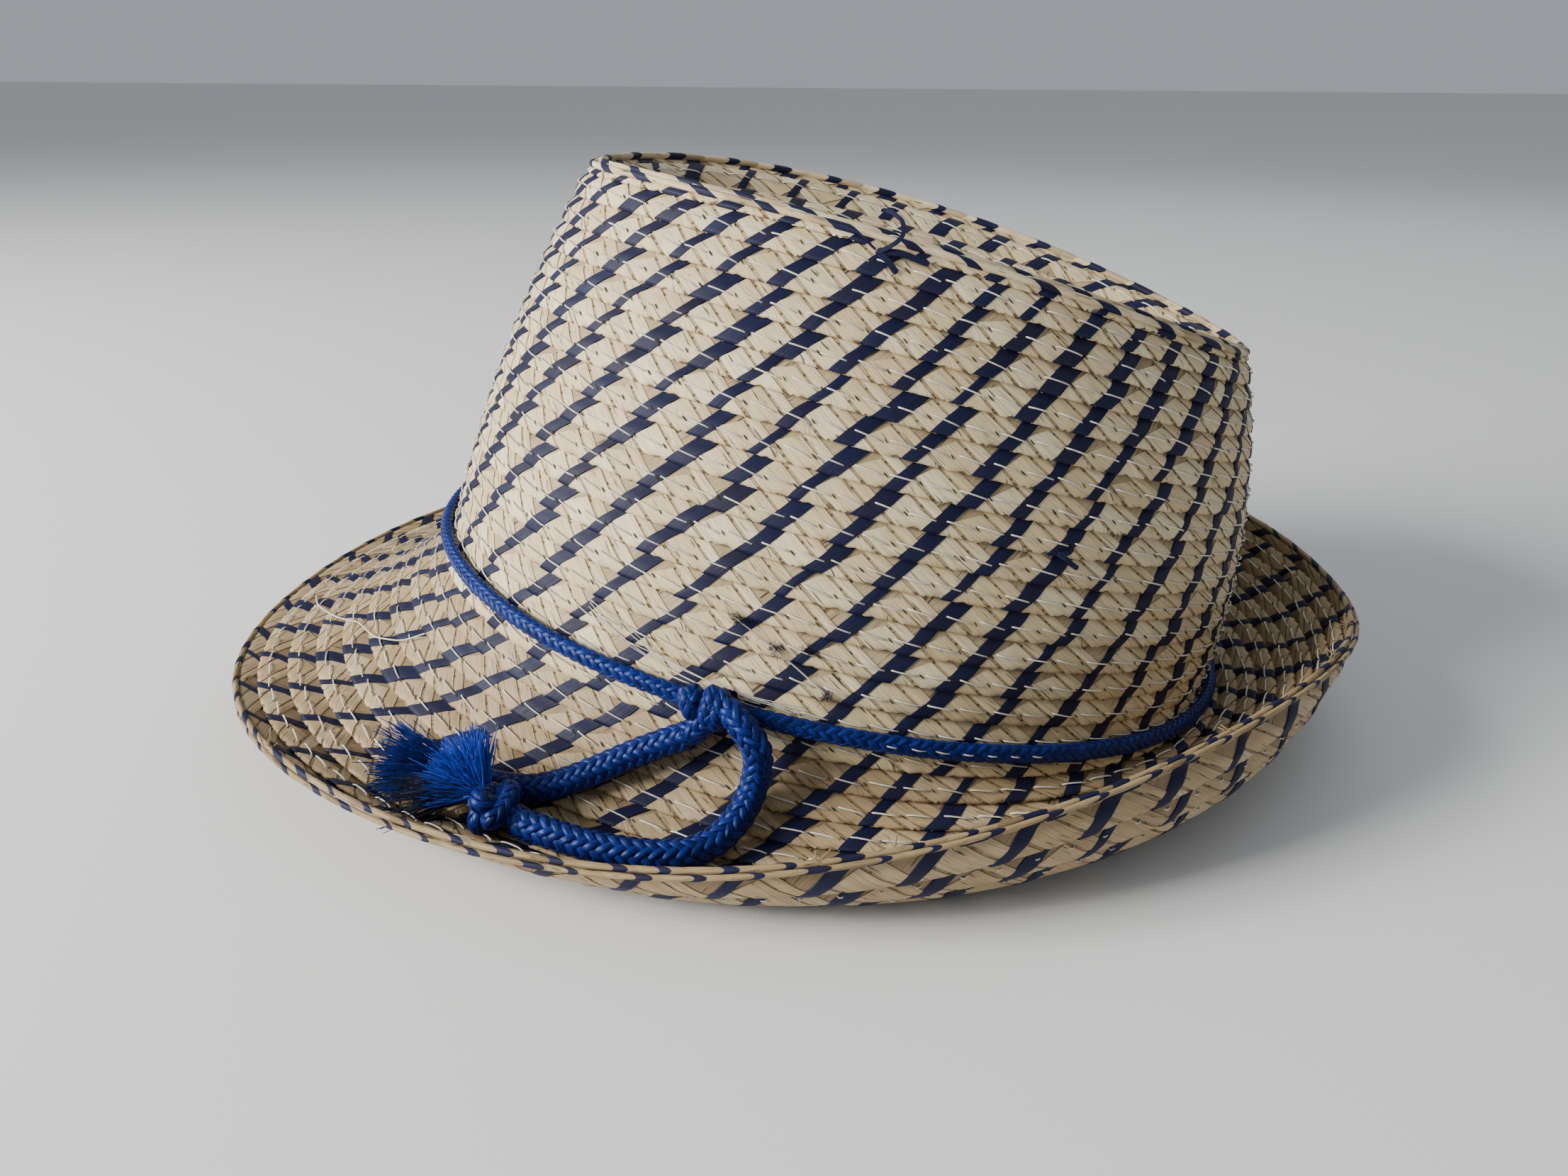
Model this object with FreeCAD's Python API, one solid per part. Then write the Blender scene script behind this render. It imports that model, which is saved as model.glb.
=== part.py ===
"""Trilby hat of palm-leaf braid, sewn in a spiral, with a tied cord band.

The hat is built upright: its origin is the middle of the crown's base, the
front looks along -Y, the wearer's left is +X and +Z is up.  The skin of the hat
is a set of meridians, from the crease in the tip over the crown wall to the edge
of the brim.  Every course of braid is a thin ring on that skin, and its upper
edge is tucked under the course before it, like a shingle.  At the end all pieces
are tilted back together, so that the hat lies on its brim as it does on a table,
and they are moved so that the middle of the hat's underside is the origin.
"""
import FreeCAD
import Part
import math
import os
from FreeCAD import Vector

# ---- crown, mm -------------------------------------------------------------
BASE_HALF_WIDTH = 84.3
BASE_HALF_LENGTH = 100.6
BASE_EGG = -0.02
BASE_RISE = (0.0, -1.3, -1.0, -0.5)
RIDGE_HALF_WIDTH = 47.2
RIDGE_HALF_LENGTH = 81.2
RIDGE_SHIFT_BACK = 5.0
RIDGE_EGG = -0.08
RIDGE_HEIGHT = (99.6, -7.0, -6.8)
RIDGE_DROP_FRONT = -1.0
WALL_BULGE = (4.8, 1.0)
CREASE_HALF_LENGTH = 38.0
CREASE_DEPTH = 22.0
CREASE_START = 0.12
CREASE_POWER = 1.6

# ---- brim: width and slope as powers of the sine of the angle ----------------
BRIM_WIDTH = (59.2, -8.0, -4.2, -2.0, -0.8)
BRIM_SLOPE_AT_CROWN = (-1.36, 0.62, 1.06, 0.14, 0.08)
BRIM_SLOPE_AT_EDGE = (1.45, 1.45, 0.17, -0.72, -1.17)
BRIM_CURL_POWER = 1.2

# ---- braid -------------------------------------------------------------------
TIP_COURSES = 6
WALL_COURSES = 16
BRIM_COURSES = 9
TIP_STEPS = 14
WALL_STEPS = 30
BRIM_STEPS = 16
STRIP_THICKNESS = 1.1
SHINGLE_GAP = 0.3
TUCKED_SHARE = 0.4
STRAIGHT_SHARE = 0.88
STATIONS = 72

# ---- edge, thread, sweatband -----------------------------------------------------
RIM_RADIUS = 1.1
RIM_GAP = 0.3
THREAD_WIDTH_SHARE = 0.07
THREAD_PLACE = 0.6
THREAD_THICKNESS = 0.3
SWEATBAND_HEIGHT_STEPS = 9.0
SWEATBAND_THICKNESS = 0.8
SWEATBAND_GAP = 0.4

# ---- cord ------------------------------------------------------------------------
CORD_GAP = 0.3
BAND_HALF_HEIGHT = 1.9
BAND_HALF_THICKNESS = 1.5
BAND_STEP = 42.9
BAND_RISE_AT_BACK = 0.9
BAND_RISE_POWER = 8
KNOT_ANGLE = math.radians(-11.0)
KNOT_HALF_LENGTH = 5.5
KNOT_END_RADIUS = 2.6
KNOT_MIDDLE_RADIUS = 4.0
KNOT_OUT = 4.9
TAIL_RADIUS = 2.9
TAIL_BEND_SHARE = 0.45
UPPER_TAIL = [
    (87.7, -23.2, -2.3), (87.7, -31.2, -7.4), (89.2, -39.8, -13.6),
    (92.0, -48.0, -18.3), (93.8, -56.2, -20.8), (92.2, -64.0, -21.6),
]
LOWER_TAIL = [
    (91.0, -13.3, 4.9), (92.6, -8.9, 2.2), (92.6, -7.4, -3.6), (93.6, -7.8, -9.6),
    (97.2, -9.3, -13.6), (102.6, -12.8, -16.6), (106.6, -18.0, -18.1), (108.4, -26.0, -19.0),
    (108.2, -36.5, -19.8), (105.6, -47.0, -20.8), (103.4, -53.6, -21.3),
]
UPPER_END_KNOT = (91.4, -68.4, -20.9)
UPPER_END_KNOT_HALF_SIZES = (4.4, 4.4, 4.4)
LOWER_END_KNOT = (102.0, -58.8, -19.9)
LOWER_END_KNOT_HALF_SIZES = (5.2, 6.6, 4.6)
UPPER_TASSEL = ((91.9, -73.0, -21.4), (95.3, -88.0, -21.6), 6.5, 3.2)
LOWER_TASSEL = ((99.2, -64.6, -17.6), (93.8, -78.6, -16.2), 8.5, 3.6)
TASSEL_NECK_RADIUS = 2.3

# ---- how the finished hat lies ---------------------------------------------------
REST_TILT = 10.1
SHIFT = Vector(0.0, 10.61, 20.75)

TIP_END = TIP_STEPS
WALL_END = TIP_STEPS + WALL_STEPS
BRIM_END = TIP_STEPS + WALL_STEPS + BRIM_STEPS
LOW = -SHINGLE_GAP / 2.0
HIGH = SHINGLE_GAP / 2.0


def powers(factors, value):
    """Polynomial with the constant first."""
    return sum(factor * value ** power for power, factor in enumerate(factors))


def base_point(angle):
    """Point where the crown meets the brim."""
    c, s = math.cos(angle), math.sin(angle)
    return Vector(BASE_HALF_WIDTH * c * (1 + BASE_EGG * s), BASE_HALF_LENGTH * s, powers(BASE_RISE, s))


def ridge_point(angle):
    """Point on the ridge round the crease."""
    c, s = math.cos(angle), math.sin(angle)
    height = powers(RIDGE_HEIGHT, s) + RIDGE_DROP_FRONT * max(-s, 0.0) ** 8
    return Vector(RIDGE_HALF_WIDTH * c * (1 + RIDGE_EGG * s), RIDGE_SHIFT_BACK + RIDGE_HALF_LENGTH * s, height)


def crease_point(angle):
    """Point on the floor of the crease that this meridian starts from."""
    along = math.sin(math.pi / 2 * math.sin(angle))
    y = RIDGE_SHIFT_BACK + CREASE_HALF_LENGTH * along
    slope = RIDGE_HEIGHT[1] / RIDGE_HALF_LENGTH
    return Vector(0.0, y, RIDGE_HEIGHT[0] - CREASE_DEPTH + slope * (y - RIDGE_SHIFT_BACK))


def meridian(angle):
    """Points of the skin from the crease to the edge of the brim at one angle."""
    s = math.sin(angle)
    floor, ridge, base = crease_point(angle), ridge_point(angle), base_point(angle)
    outward = Vector(math.cos(angle), s, 0.0)
    points = []
    for step in range(TIP_STEPS):
        share = CREASE_START + (1 - CREASE_START) * step / TIP_STEPS
        point = floor + (ridge - floor) * share
        point.z = floor.z + (ridge.z - floor.z) * share ** CREASE_POWER
        points.append(point)
    for step in range(WALL_STEPS):
        share = step / WALL_STEPS
        bulge = powers(WALL_BULGE, s) * 4 * share * (1 - share)
        points.append(ridge + (base - ridge) * share + outward * bulge)
    across = Vector(math.cos(angle) / BASE_HALF_WIDTH, s / BASE_HALF_LENGTH, 0.0).normalize()
    points.append(base)
    for step in range(BRIM_STEPS):
        share = ((step + 0.5) / BRIM_STEPS) ** BRIM_CURL_POWER
        start, end = powers(BRIM_SLOPE_AT_CROWN, s), powers(BRIM_SLOPE_AT_EDGE, s)
        slope = start + (end - start) * share
        length = powers(BRIM_WIDTH, s) / BRIM_STEPS
        point = points[-1] + (across * math.cos(slope) + Vector(0, 0, math.sin(slope))) * length
        points.append(point)
    return rounded(rounded(points))


def rounded(points):
    """Short running average that rounds the ridge and the foot of the crown."""
    middle = [(a + b * 2 + c) * 0.25 for a, b, c in zip(points, points[1:], points[2:])]
    return [points[0]] + middle + [points[-1]]


skin_cache = {}


def skin(angle):
    """Meridian, its outward normals and its tangents, at one angle."""
    key = round(angle, 6)
    if key not in skin_cache:
        points = meridian(angle)
        before, after = meridian(angle - 0.02), meridian(angle + 0.02)
        normals, tangents = [], []
        for step in range(len(points)):
            down = points[min(step + 1, BRIM_END)] - points[max(step - 1, 0)]
            around = after[step] - before[step]
            normals.append(down.cross(around).normalize())
            tangents.append(down.normalize())
        skin_cache[key] = (points, normals, tangents)
    return skin_cache[key]


def blend(values, place):
    step = min(max(int(place), 0), len(values) - 2)
    share = place - step
    return values[step] * (1 - share) + values[step + 1] * share


def skin_point(angle, place, offset):
    """Point at a place along the meridian, lifted off the skin by an offset."""
    points, normals, _ = skin(angle)
    return blend(points, place) + blend(normals, place).normalize() * offset


def near_point(angle, place, down, out):
    """Point a few millimetres down the meridian and off the skin at a place."""
    points, normals, tangents = skin(angle)
    tangent, normal = blend(tangents, place).normalize(), blend(normals, place).normalize()
    return blend(points, place) + tangent * down + normal * out


def closed_curve(points):
    curve = Part.BSplineCurve()
    curve.interpolate(Points=points, PeriodicFlag=True)
    return curve.toShape()


def open_curve(points):
    curve = Part.BSplineCurve()
    curve.interpolate(Points=points)
    return curve.toShape()


def solid_from(faces):
    shell = Part.makeShell(faces)
    shell.sewShape()
    solid = Part.makeSolid(Part.makeShell(shell.Faces))
    if solid.Volume < 0:
        solid.reverse()
    return solid


def ring(corners):
    """Closed ring: each corner is a function that gives its point at an angle."""
    angles = [2 * math.pi * station / STATIONS for station in range(STATIONS)]
    curves = [closed_curve([corner(angle) for angle in angles]) for corner in corners]
    faces = [Part.makeRuledSurface(a, b) for a, b in zip(curves, curves[1:] + curves[:1])]
    return solid_from(faces)


def skin_corner(place, offset):
    return lambda angle: skin_point(angle, place, offset)


def near_corner(place, down, out):
    return lambda angle: near_point(angle, place, down, out)


def course_places():
    """Places along the meridian where the visible part of each course starts."""
    places = [TIP_STEPS * k / TIP_COURSES for k in range(TIP_COURSES)]
    places += [TIP_END + WALL_STEPS * k / WALL_COURSES for k in range(WALL_COURSES)]
    places += [WALL_END + BRIM_STEPS * k / BRIM_COURSES for k in range(BRIM_COURSES)]
    return places + [BRIM_END]


def course(start, end, last):
    """One turn of the braid: the upper part is tucked in, the lower part lies over."""
    pitch = end - start
    tucked = start + TUCKED_SHARE * pitch
    outer = start + STRAIGHT_SHARE * pitch
    edge = BRIM_END if last else end + TUCKED_SHARE * pitch
    inside, outside = LOW - STRIP_THICKNESS, HIGH + STRIP_THICKNESS
    corners = [
        skin_corner(start, inside), skin_corner(start, LOW),
        skin_corner(tucked, LOW), skin_corner(outer, outside),
        skin_corner(edge, outside), skin_corner(edge, HIGH),
        skin_corner(outer, HIGH), skin_corner(tucked, inside),
    ]
    return ring(corners)


def course_name(number):
    if number < TIP_COURSES:
        return "tip_course_%02d" % (number + 1)
    if number < TIP_COURSES + WALL_COURSES:
        return "crown_course_%02d" % (number + 1 - TIP_COURSES)
    return "brim_course_%02d" % (number + 1 - TIP_COURSES - WALL_COURSES)


def courses():
    places = course_places()
    pieces = {}
    for number, (start, end) in enumerate(zip(places, places[1:])):
        pieces[course_name(number)] = course(start, end, end == BRIM_END)
    return pieces


def braid_start():
    """Straight beginning of the braid on the floor of the crease."""
    front, back = crease_point(-math.pi / 2), crease_point(math.pi / 2)
    along = (back - front).normalize()
    half_width = CREASE_START * RIDGE_HALF_WIDTH + 1.5
    top = LOW - STRIP_THICKNESS - SHINGLE_GAP
    length = (back - front).Length + 2 * half_width
    strip = Part.makeBox(2 * half_width, length, STRIP_THICKNESS)
    strip.translate(Vector(-half_width, -half_width, top - STRIP_THICKNESS))
    strip.rotate(Vector(0, 0, 0), Vector(1, 0, 0), math.degrees(math.asin(along.z)))
    strip.translate(front)
    return strip


def thread_ring(start, end):
    """Line of stitches, which lies on the course just above its lower edge."""
    pitch = end - start
    upper = start + (THREAD_PLACE + TUCKED_SHARE) * pitch
    lower = upper + THREAD_WIDTH_SHARE * pitch
    inside = HIGH + STRIP_THICKNESS + 0.02
    outside = inside + THREAD_THICKNESS
    return ring([skin_corner(upper, inside), skin_corner(upper, outside),
                 skin_corner(lower, outside), skin_corner(lower, inside)])


def thread():
    """Sewing thread of the tip, the crown and the brim."""
    places = course_places()
    rings = [thread_ring(start, end) for start, end in zip(places, places[1:])]
    brim = TIP_COURSES + WALL_COURSES
    return {
        "thread_tip": Part.makeCompound(rings[:TIP_COURSES]),
        "thread_crown": Part.makeCompound(rings[TIP_COURSES:brim]),
        "thread_brim": Part.makeCompound(rings[brim:-1]),
    }


def octagon(corner_at, down, out, half_down, half_out):
    """Corners of an eight-sided cord section beside the skin."""
    corners = []
    for side in range(8):
        turn = math.pi / 4 * (side + 0.5)
        corners.append(corner_at(down + half_down * math.cos(turn), out + half_out * math.sin(turn)))
    return corners


def edge_corner(down, out):
    return near_corner(BRIM_END, down, out)


def rims():
    """Two thin folded rims, one over the other, along the edge of the brim."""
    down = RIM_RADIUS + RIM_GAP
    upper = ring(octagon(edge_corner, down, RIM_RADIUS + RIM_GAP / 2, RIM_RADIUS, RIM_RADIUS))
    lower = ring(octagon(edge_corner, down, -RIM_RADIUS - RIM_GAP / 2, RIM_RADIUS, RIM_RADIUS))
    return {"rim_upper": upper, "rim_lower": lower}


def sweatband():
    """Fabric band inside the foot of the crown."""
    outer = LOW - STRIP_THICKNESS - SWEATBAND_GAP
    inner = outer - SWEATBAND_THICKNESS
    top, bottom = WALL_END - SWEATBAND_HEIGHT_STEPS, WALL_END - 1.0
    return ring([skin_corner(top, inner), skin_corner(top, outer),
                 skin_corner(bottom, outer), skin_corner(bottom, inner)])


def knot_frame():
    """Middle of the knot with the directions along the band and off the crown."""
    step = 0.02
    before = near_point(KNOT_ANGLE - step, BAND_STEP, 0, KNOT_OUT)
    after = near_point(KNOT_ANGLE + step, BAND_STEP, 0, KNOT_OUT)
    middle = near_point(KNOT_ANGLE, BAND_STEP, 0, KNOT_OUT)
    return middle, (after - before).normalize()


def band_step(angle):
    """Place of the band, which rides higher at the back, where the brim turns up."""
    return BAND_STEP - BAND_RISE_AT_BACK * max(math.sin(angle), 0.0) ** BAND_RISE_POWER


def band_corner(down, out):
    return lambda angle: near_point(angle, band_step(angle), down, out)


def band():
    """Cord round the foot of the crown, from one end of the knot to the other."""
    out = HIGH + STRIP_THICKNESS + CORD_GAP + BAND_HALF_THICKNESS
    corners = octagon(band_corner, 0.0, out, BAND_HALF_HEIGHT, BAND_HALF_THICKNESS)
    half = (KNOT_HALF_LENGTH + 0.2) / BASE_HALF_WIDTH
    span = 2 * math.pi - 2 * half
    angles = [KNOT_ANGLE + half + span * k / STATIONS for k in range(STATIONS + 1)]
    curves = [open_curve([corner(angle) for angle in angles]) for corner in corners]
    faces = [Part.makeRuledSurface(a, b) for a, b in zip(curves, curves[1:] + curves[:1])]
    for angle in (angles[0], angles[-1]):
        loop = [corner(angle) for corner in corners]
        faces.append(Part.makeFilledFace(Part.makePolygon(loop + loop[:1]).Edges))
    return solid_from(faces)


def knot():
    """Wrapped knot of the band: a barrel along the band."""
    middle, along = knot_frame()
    left = Vector(-KNOT_HALF_LENGTH, KNOT_END_RADIUS, 0)
    right = Vector(KNOT_HALF_LENGTH, KNOT_END_RADIUS, 0)
    arc = Part.Arc(left, Vector(0, KNOT_MIDDLE_RADIUS, 0), right).toShape()
    ends = [Part.makeLine(Vector(-KNOT_HALF_LENGTH, 0, 0), left), Part.makeLine(right, Vector(KNOT_HALF_LENGTH, 0, 0))]
    axis = Part.makeLine(Vector(KNOT_HALF_LENGTH, 0, 0), Vector(-KNOT_HALF_LENGTH, 0, 0))
    profile = Part.Face(Part.Wire([ends[0], arc, ends[1], axis]))
    barrel = profile.revolve(Vector(0, 0, 0), Vector(1, 0, 0), 360)
    barrel.Placement = FreeCAD.Placement(middle, FreeCAD.Rotation(Vector(1, 0, 0), along))
    return barrel


def tail_path(points):
    """Straight runs joined by tangent arcs; also gives the smallest arc radius."""
    edges, smallest, last = [], None, points[0]
    for before, here, after in zip(points, points[1:], points[2:]):
        arriving, leaving = (here - before).normalize(), (after - here).normalize()
        half_turn = arriving.getAngle(leaving) / 2
        shorter = min((here - before).Length, (after - here).Length)
        cut = TAIL_BEND_SHARE * shorter
        radius = cut / math.tan(half_turn)
        start, end = here - arriving * cut, here + leaving * cut
        inward = (leaving - arriving).normalize()
        middle = here + inward * (radius / math.cos(half_turn) - radius)
        edges += [Part.makeLine(last, start), Part.Arc(start, middle, end).toShape()]
        smallest = radius if smallest is None else min(smallest, radius)
        last = end
    edges.append(Part.makeLine(last, points[-1]))
    return Part.Wire(edges), smallest


def tail(name, route):
    """Free end of the cord: a round tube along its route."""
    points = [Vector(*point) for point in route]
    path, smallest = tail_path(points)
    circle = Part.makeCircle(TAIL_RADIUS, points[0], points[1] - points[0])
    tube = path.makePipeShell([Part.Wire(circle)], True, False)
    expected = math.pi * TAIL_RADIUS ** 2 * path.Length
    print(name, "length", round(path.Length, 1), "smallest radius", round(smallest, 1),
          "volume share", round(tube.Volume / expected, 3))
    return tube


def end_knot(place, half_sizes, toward):
    """Overhand knot at the end of a tail, longest across the cord."""
    sizes = FreeCAD.Matrix()
    sizes.scale(*half_sizes)
    lump = Part.makeSphere(1.0).transformGeometry(sizes)
    turn = math.degrees(math.atan2(toward.y, toward.x))
    lump.Placement = FreeCAD.Placement(Vector(*place), FreeCAD.Rotation(Vector(0, 0, 1), turn))
    return lump


def tassel(neck, end, half_width, half_thickness):
    """Frayed end of a tail: it grows from a round neck to a flat fan."""
    neck, end = Vector(*neck), Vector(*end)
    along = (end - neck).normalize()
    sideways = along.cross(Vector(0, 0, 1)).normalize()
    small = Part.makeCircle(TASSEL_NECK_RADIUS, neck, along)
    large = Part.Ellipse(end + sideways * half_width, end + sideways.cross(along) * half_thickness, end)
    return Part.makeLoft([Part.Wire(small), Part.Wire(large.toShape())], True)


def cord_ends():
    """Both tails of the tied cord, with the knot and the tassel of each."""
    upper_way = Vector(*UPPER_TAIL[-1]) - Vector(*UPPER_TAIL[-2])
    lower_way = Vector(*LOWER_TAIL[-1]) - Vector(*LOWER_TAIL[-2])
    return {
        "tail_upper": tail("tail_upper", UPPER_TAIL),
        "tail_lower": tail("tail_lower", LOWER_TAIL),
        "end_knot_upper": end_knot(UPPER_END_KNOT, UPPER_END_KNOT_HALF_SIZES, upper_way),
        "end_knot_lower": end_knot(LOWER_END_KNOT, LOWER_END_KNOT_HALF_SIZES, lower_way),
        "tassel_upper": tassel(*UPPER_TASSEL),
        "tassel_lower": tassel(*LOWER_TASSEL),
    }


def laid_down(shape):
    """Tilt a piece back and lift it, so that the hat rests on its brim."""
    placed = shape.copy()
    placed.rotate(Vector(0, 0, 0), Vector(1, 0, 0), -REST_TILT)
    placed.translate(SHIFT)
    return placed


def build():
    pieces = {"braid_start": braid_start()}
    pieces.update(courses())
    pieces.update(rims())
    pieces.update(thread())
    pieces["sweatband"] = sweatband()
    pieces["cord_band"] = band()
    pieces["cord_knot"] = knot()
    pieces.update(cord_ends())
    return pieces


def main():
    os.makedirs("parts", exist_ok=True)
    for name, shape in build().items():
        placed = laid_down(shape)
        placed.exportStep("parts/%s.step" % name)
        print(name, "valid" if placed.isValid() else "NOT VALID", round(placed.Volume))


if __name__ == "__main__":
    main()
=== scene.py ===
"""Trilby hat of palm-leaf braid with a tied blue cord, as it lies on a pale floor.

The braid follows the same skin as the CAD model: meridians that run from the
crease over the crown wall to the edge of the brim.  Lengths are in millimetres
in the upright hat; laid_down() tilts the points and turns them into metres.
"""
import bpy
import math
import numpy as np
from mathutils import Matrix, Vector


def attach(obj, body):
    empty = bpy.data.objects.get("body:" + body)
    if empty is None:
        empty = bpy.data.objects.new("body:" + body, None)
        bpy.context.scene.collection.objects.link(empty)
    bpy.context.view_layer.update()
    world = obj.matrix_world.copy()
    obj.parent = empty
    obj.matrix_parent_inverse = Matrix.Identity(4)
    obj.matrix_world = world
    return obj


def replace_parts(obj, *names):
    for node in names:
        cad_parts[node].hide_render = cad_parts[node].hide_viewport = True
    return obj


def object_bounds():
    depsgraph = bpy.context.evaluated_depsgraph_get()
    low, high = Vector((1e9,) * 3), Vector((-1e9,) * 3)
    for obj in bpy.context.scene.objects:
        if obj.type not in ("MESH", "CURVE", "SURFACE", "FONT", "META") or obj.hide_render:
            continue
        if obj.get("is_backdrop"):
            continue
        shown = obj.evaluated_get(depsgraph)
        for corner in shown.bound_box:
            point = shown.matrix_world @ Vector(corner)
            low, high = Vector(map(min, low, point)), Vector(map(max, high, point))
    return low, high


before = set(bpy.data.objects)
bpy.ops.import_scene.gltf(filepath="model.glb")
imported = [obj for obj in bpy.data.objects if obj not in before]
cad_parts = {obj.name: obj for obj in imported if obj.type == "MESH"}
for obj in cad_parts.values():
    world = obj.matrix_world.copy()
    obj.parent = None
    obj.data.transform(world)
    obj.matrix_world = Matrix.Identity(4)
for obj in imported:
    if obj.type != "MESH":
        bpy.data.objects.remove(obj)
cad_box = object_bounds()
random = np.random.default_rng(11)

# ---- crown and brim, mm, as in the CAD model ----
BASE_HALF_WIDTH = 84.3
BASE_HALF_LENGTH = 100.6
BASE_EGG = -0.02
BASE_RISE = (0.0, -1.3, -1.0, -0.5)
RIDGE_HALF_WIDTH = 47.2
RIDGE_HALF_LENGTH = 81.2
RIDGE_SHIFT_BACK = 5.0
RIDGE_EGG = -0.08
RIDGE_HEIGHT = (99.6, -7.0, -6.8)
RIDGE_DROP_FRONT = -1.0
WALL_BULGE = (4.8, 1.0)
CREASE_HALF_LENGTH = 38.0
CREASE_DEPTH = 22.0
CREASE_START = 0.12
CREASE_POWER = 1.6
BRIM_WIDTH = (59.2, -8.0, -4.2, -2.0, -0.8)
BRIM_SLOPE_AT_CROWN = (-1.36, 0.62, 1.06, 0.14, 0.08)
BRIM_SLOPE_AT_EDGE = (1.45, 1.45, 0.17, -0.72, -1.17)
BRIM_CURL_POWER = 1.2
TIP_COURSES, WALL_COURSES, BRIM_COURSES = 6, 16, 9
TIP_STEPS, WALL_STEPS, BRIM_STEPS = 14, 30, 16
TIP_END = TIP_STEPS
WALL_END = TIP_STEPS + WALL_STEPS
BRIM_END = TIP_STEPS + WALL_STEPS + BRIM_STEPS
REST_TILT = math.radians(10.1)
SHIFT = np.array([0.0, 10.61, 20.75])

# ---- camera, mm, in the upright hat ----
CAMERA_AZIMUTH, CAMERA_ELEVATION, CAMERA_ROLL = 0.0216, 0.4170, 0.1993
CAMERA_PLACE = (299.07, -5.26, 128.69)
SENSOR_WIDTH = 36.0
LENS = 27.05

# ---- braid: mm along a turn, shares of a course across it ----
TUCKED = 0.4
FOLD = 0.14
FOLD_RADIUS = 0.2
UPPER_HEIGHT = -0.45
HEIGHT_GAIN = 1.2
CELL = 14.0
CROWN_CELLS = 37
BRIM_CELLS = 47
CELL_JITTER = 0.7
SLANT = 5.2
CROSS_SLANT = 9.5
INNER_SHIFT = 6.0
STRIP_TOP = -0.14
STRIP_GAP = 0.15
LONG_OVERLAP = 0.8
CROSS_OVERLAP = 0.5
LONG_LIFTS = (0.06, 0.1)
CROSS_LIFTS = (0.2, 0.24, 0.3)
NAVY_LIFT = 0.42
NAVY_WIDTH = (4.0, 0.9)
NAVY_LIMITS = (2.4, 6.4)
# the lower-lying strips take the dark end of the straw tints: painted shade
LONG_SHADED_TINTS = (0.72, 1.0)
CROSS_TINTS = (0.0, 0.7)
STRAW, NAVY, UNDER_SHADE = 0, 1, 2

# ---- edge and ridge, mm ----
RIM_DOWN = 0.9
RIM_LOBE = 11.0
RIM_TINTS = ((0.50, 0.64), (0.50, 0.78))
FOLD_OUT = 1.35
FOLD_LOBE = 15.0
FOLD_NAVY = 4.0
FOLD_TINTS = ((0.5, 0.72), (0.5, 1.0))
ROLL_SKEW = 1.8
FOLD_ROLLS = ((-0.35, 0.9, 2.0), (0.35, 0.85, 7.0))
RIMS = (("rim_upper", 0.9, 0.72, 2.8, 0.0), ("rim_lower", -0.6, 0.62, 2.2, 5.0))

# ---- sewing thread, mm ----
STITCH_PLACE = 0.62
STITCH_PITCH = 7.4
STITCH_RADIUS = 0.18
STITCH_GAPS = (0.9, 1.5)
HOLE_SIZES = (0.45, 0.8)
HOLE_LIFT = 0.48
THREAD, HOLE, FUZZ = 0, 1, 2

# ---- loose ends, mm; a line is its degrees round, its places down and its heights ----
RIDGE_RIBBONS = (
    ((-7.6, -5.2, -4.2, -5.0, -7.4, -8.6), (15.6, 15.0, 14.5, 14.0, 13.6, 13.6),
     (1.6, 2.8, 4.0, 5.2, 6.0, 5.6), 0.95),
    ((-7.2, -10.5, -13.5), (15.4, 14.8, 14.5), (1.7, 2.6, 2.2), 0.5),
    ((-7.4, -4.0, 0.5), (15.4, 15.2, 15.3), (1.8, 2.0, 1.5), 1.4),
    ((-7.4, -5.4, -3.6), (15.4, 15.8, 16.3), (1.8, 2.0, 1.5), 1.3),
)
HOOK_RIBBONS = (
    ((25.4, 26.5, 27.6, 28.5), (29.6, 29.9, 30.2, 30.4), (1.3, 2.4, 2.2, 2.6), 1.15),
    ((25.8, 26.8, 27.5), (29.7, 29.5, 29.2), (2.0, 2.3, 1.8), 1.1),
)
MEND_DEGREES = (-13.5, -12.0, -7.0, -2.0, 2.3)
MEND_PLACES = (36.6, 37.3, 38.3, 39.6)
MEND_ENDS = (40.9, 40.9 + 0.12)
MEND_HEIGHTS = (1.2, 1.9, 1.8, 1.9, 1.2)
MEND_RADIUS = 0.15
HANGING_THREADS = 5
HANGING_DEGREES = (-31.0, -25.0, -18.8, -12.3, -6.5)
HANGING_PLACES = (39.8, 40.7, 41.3, 41.75, 42.0, 42.1)
HANGING_HEIGHTS = (1.4, 1.7, 2.0, 2.0, 1.9, 1.5)
HANGING_RADIUS = 0.1
TACK_DEGREES = (9.0, 30.0, 3.1)
TACK_PLACES = (42.9, 42.95, 43.0)
TACK_RADIUS = 0.16
FRONT_THREAD = (
    (-87.0, -82.5, -76.0, -71.2, -66.0, -60.7, -58.5),
    (57.6, 56.4, 54.0, 52.2, 51.4, 49.8, 48.2),
    (1.5, 2.2, 1.8, 2.4, 1.8, 2.3, 1.5),
)
FRONT_THREAD_RADIUS = 0.2
FUZZ_SPOTS = ((-11.0, 37.5), (-5.7, 38.6), (1.5, 40.8), (-2.0, 38.2))
FUZZ_COUNT = 44
FUZZ_REACH = 1.5
FUZZ_RADIUS = 0.055
FRAY_DEGREES = (62.0, 8.8, 3.0, 41.0, 74.0, -50.0, 150.0, 205.0, 240.0)
FRAY_COUNT = 7
FRAY_REACH = (1.5, 3.6)
FRAY_RADIUS = 0.13

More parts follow.
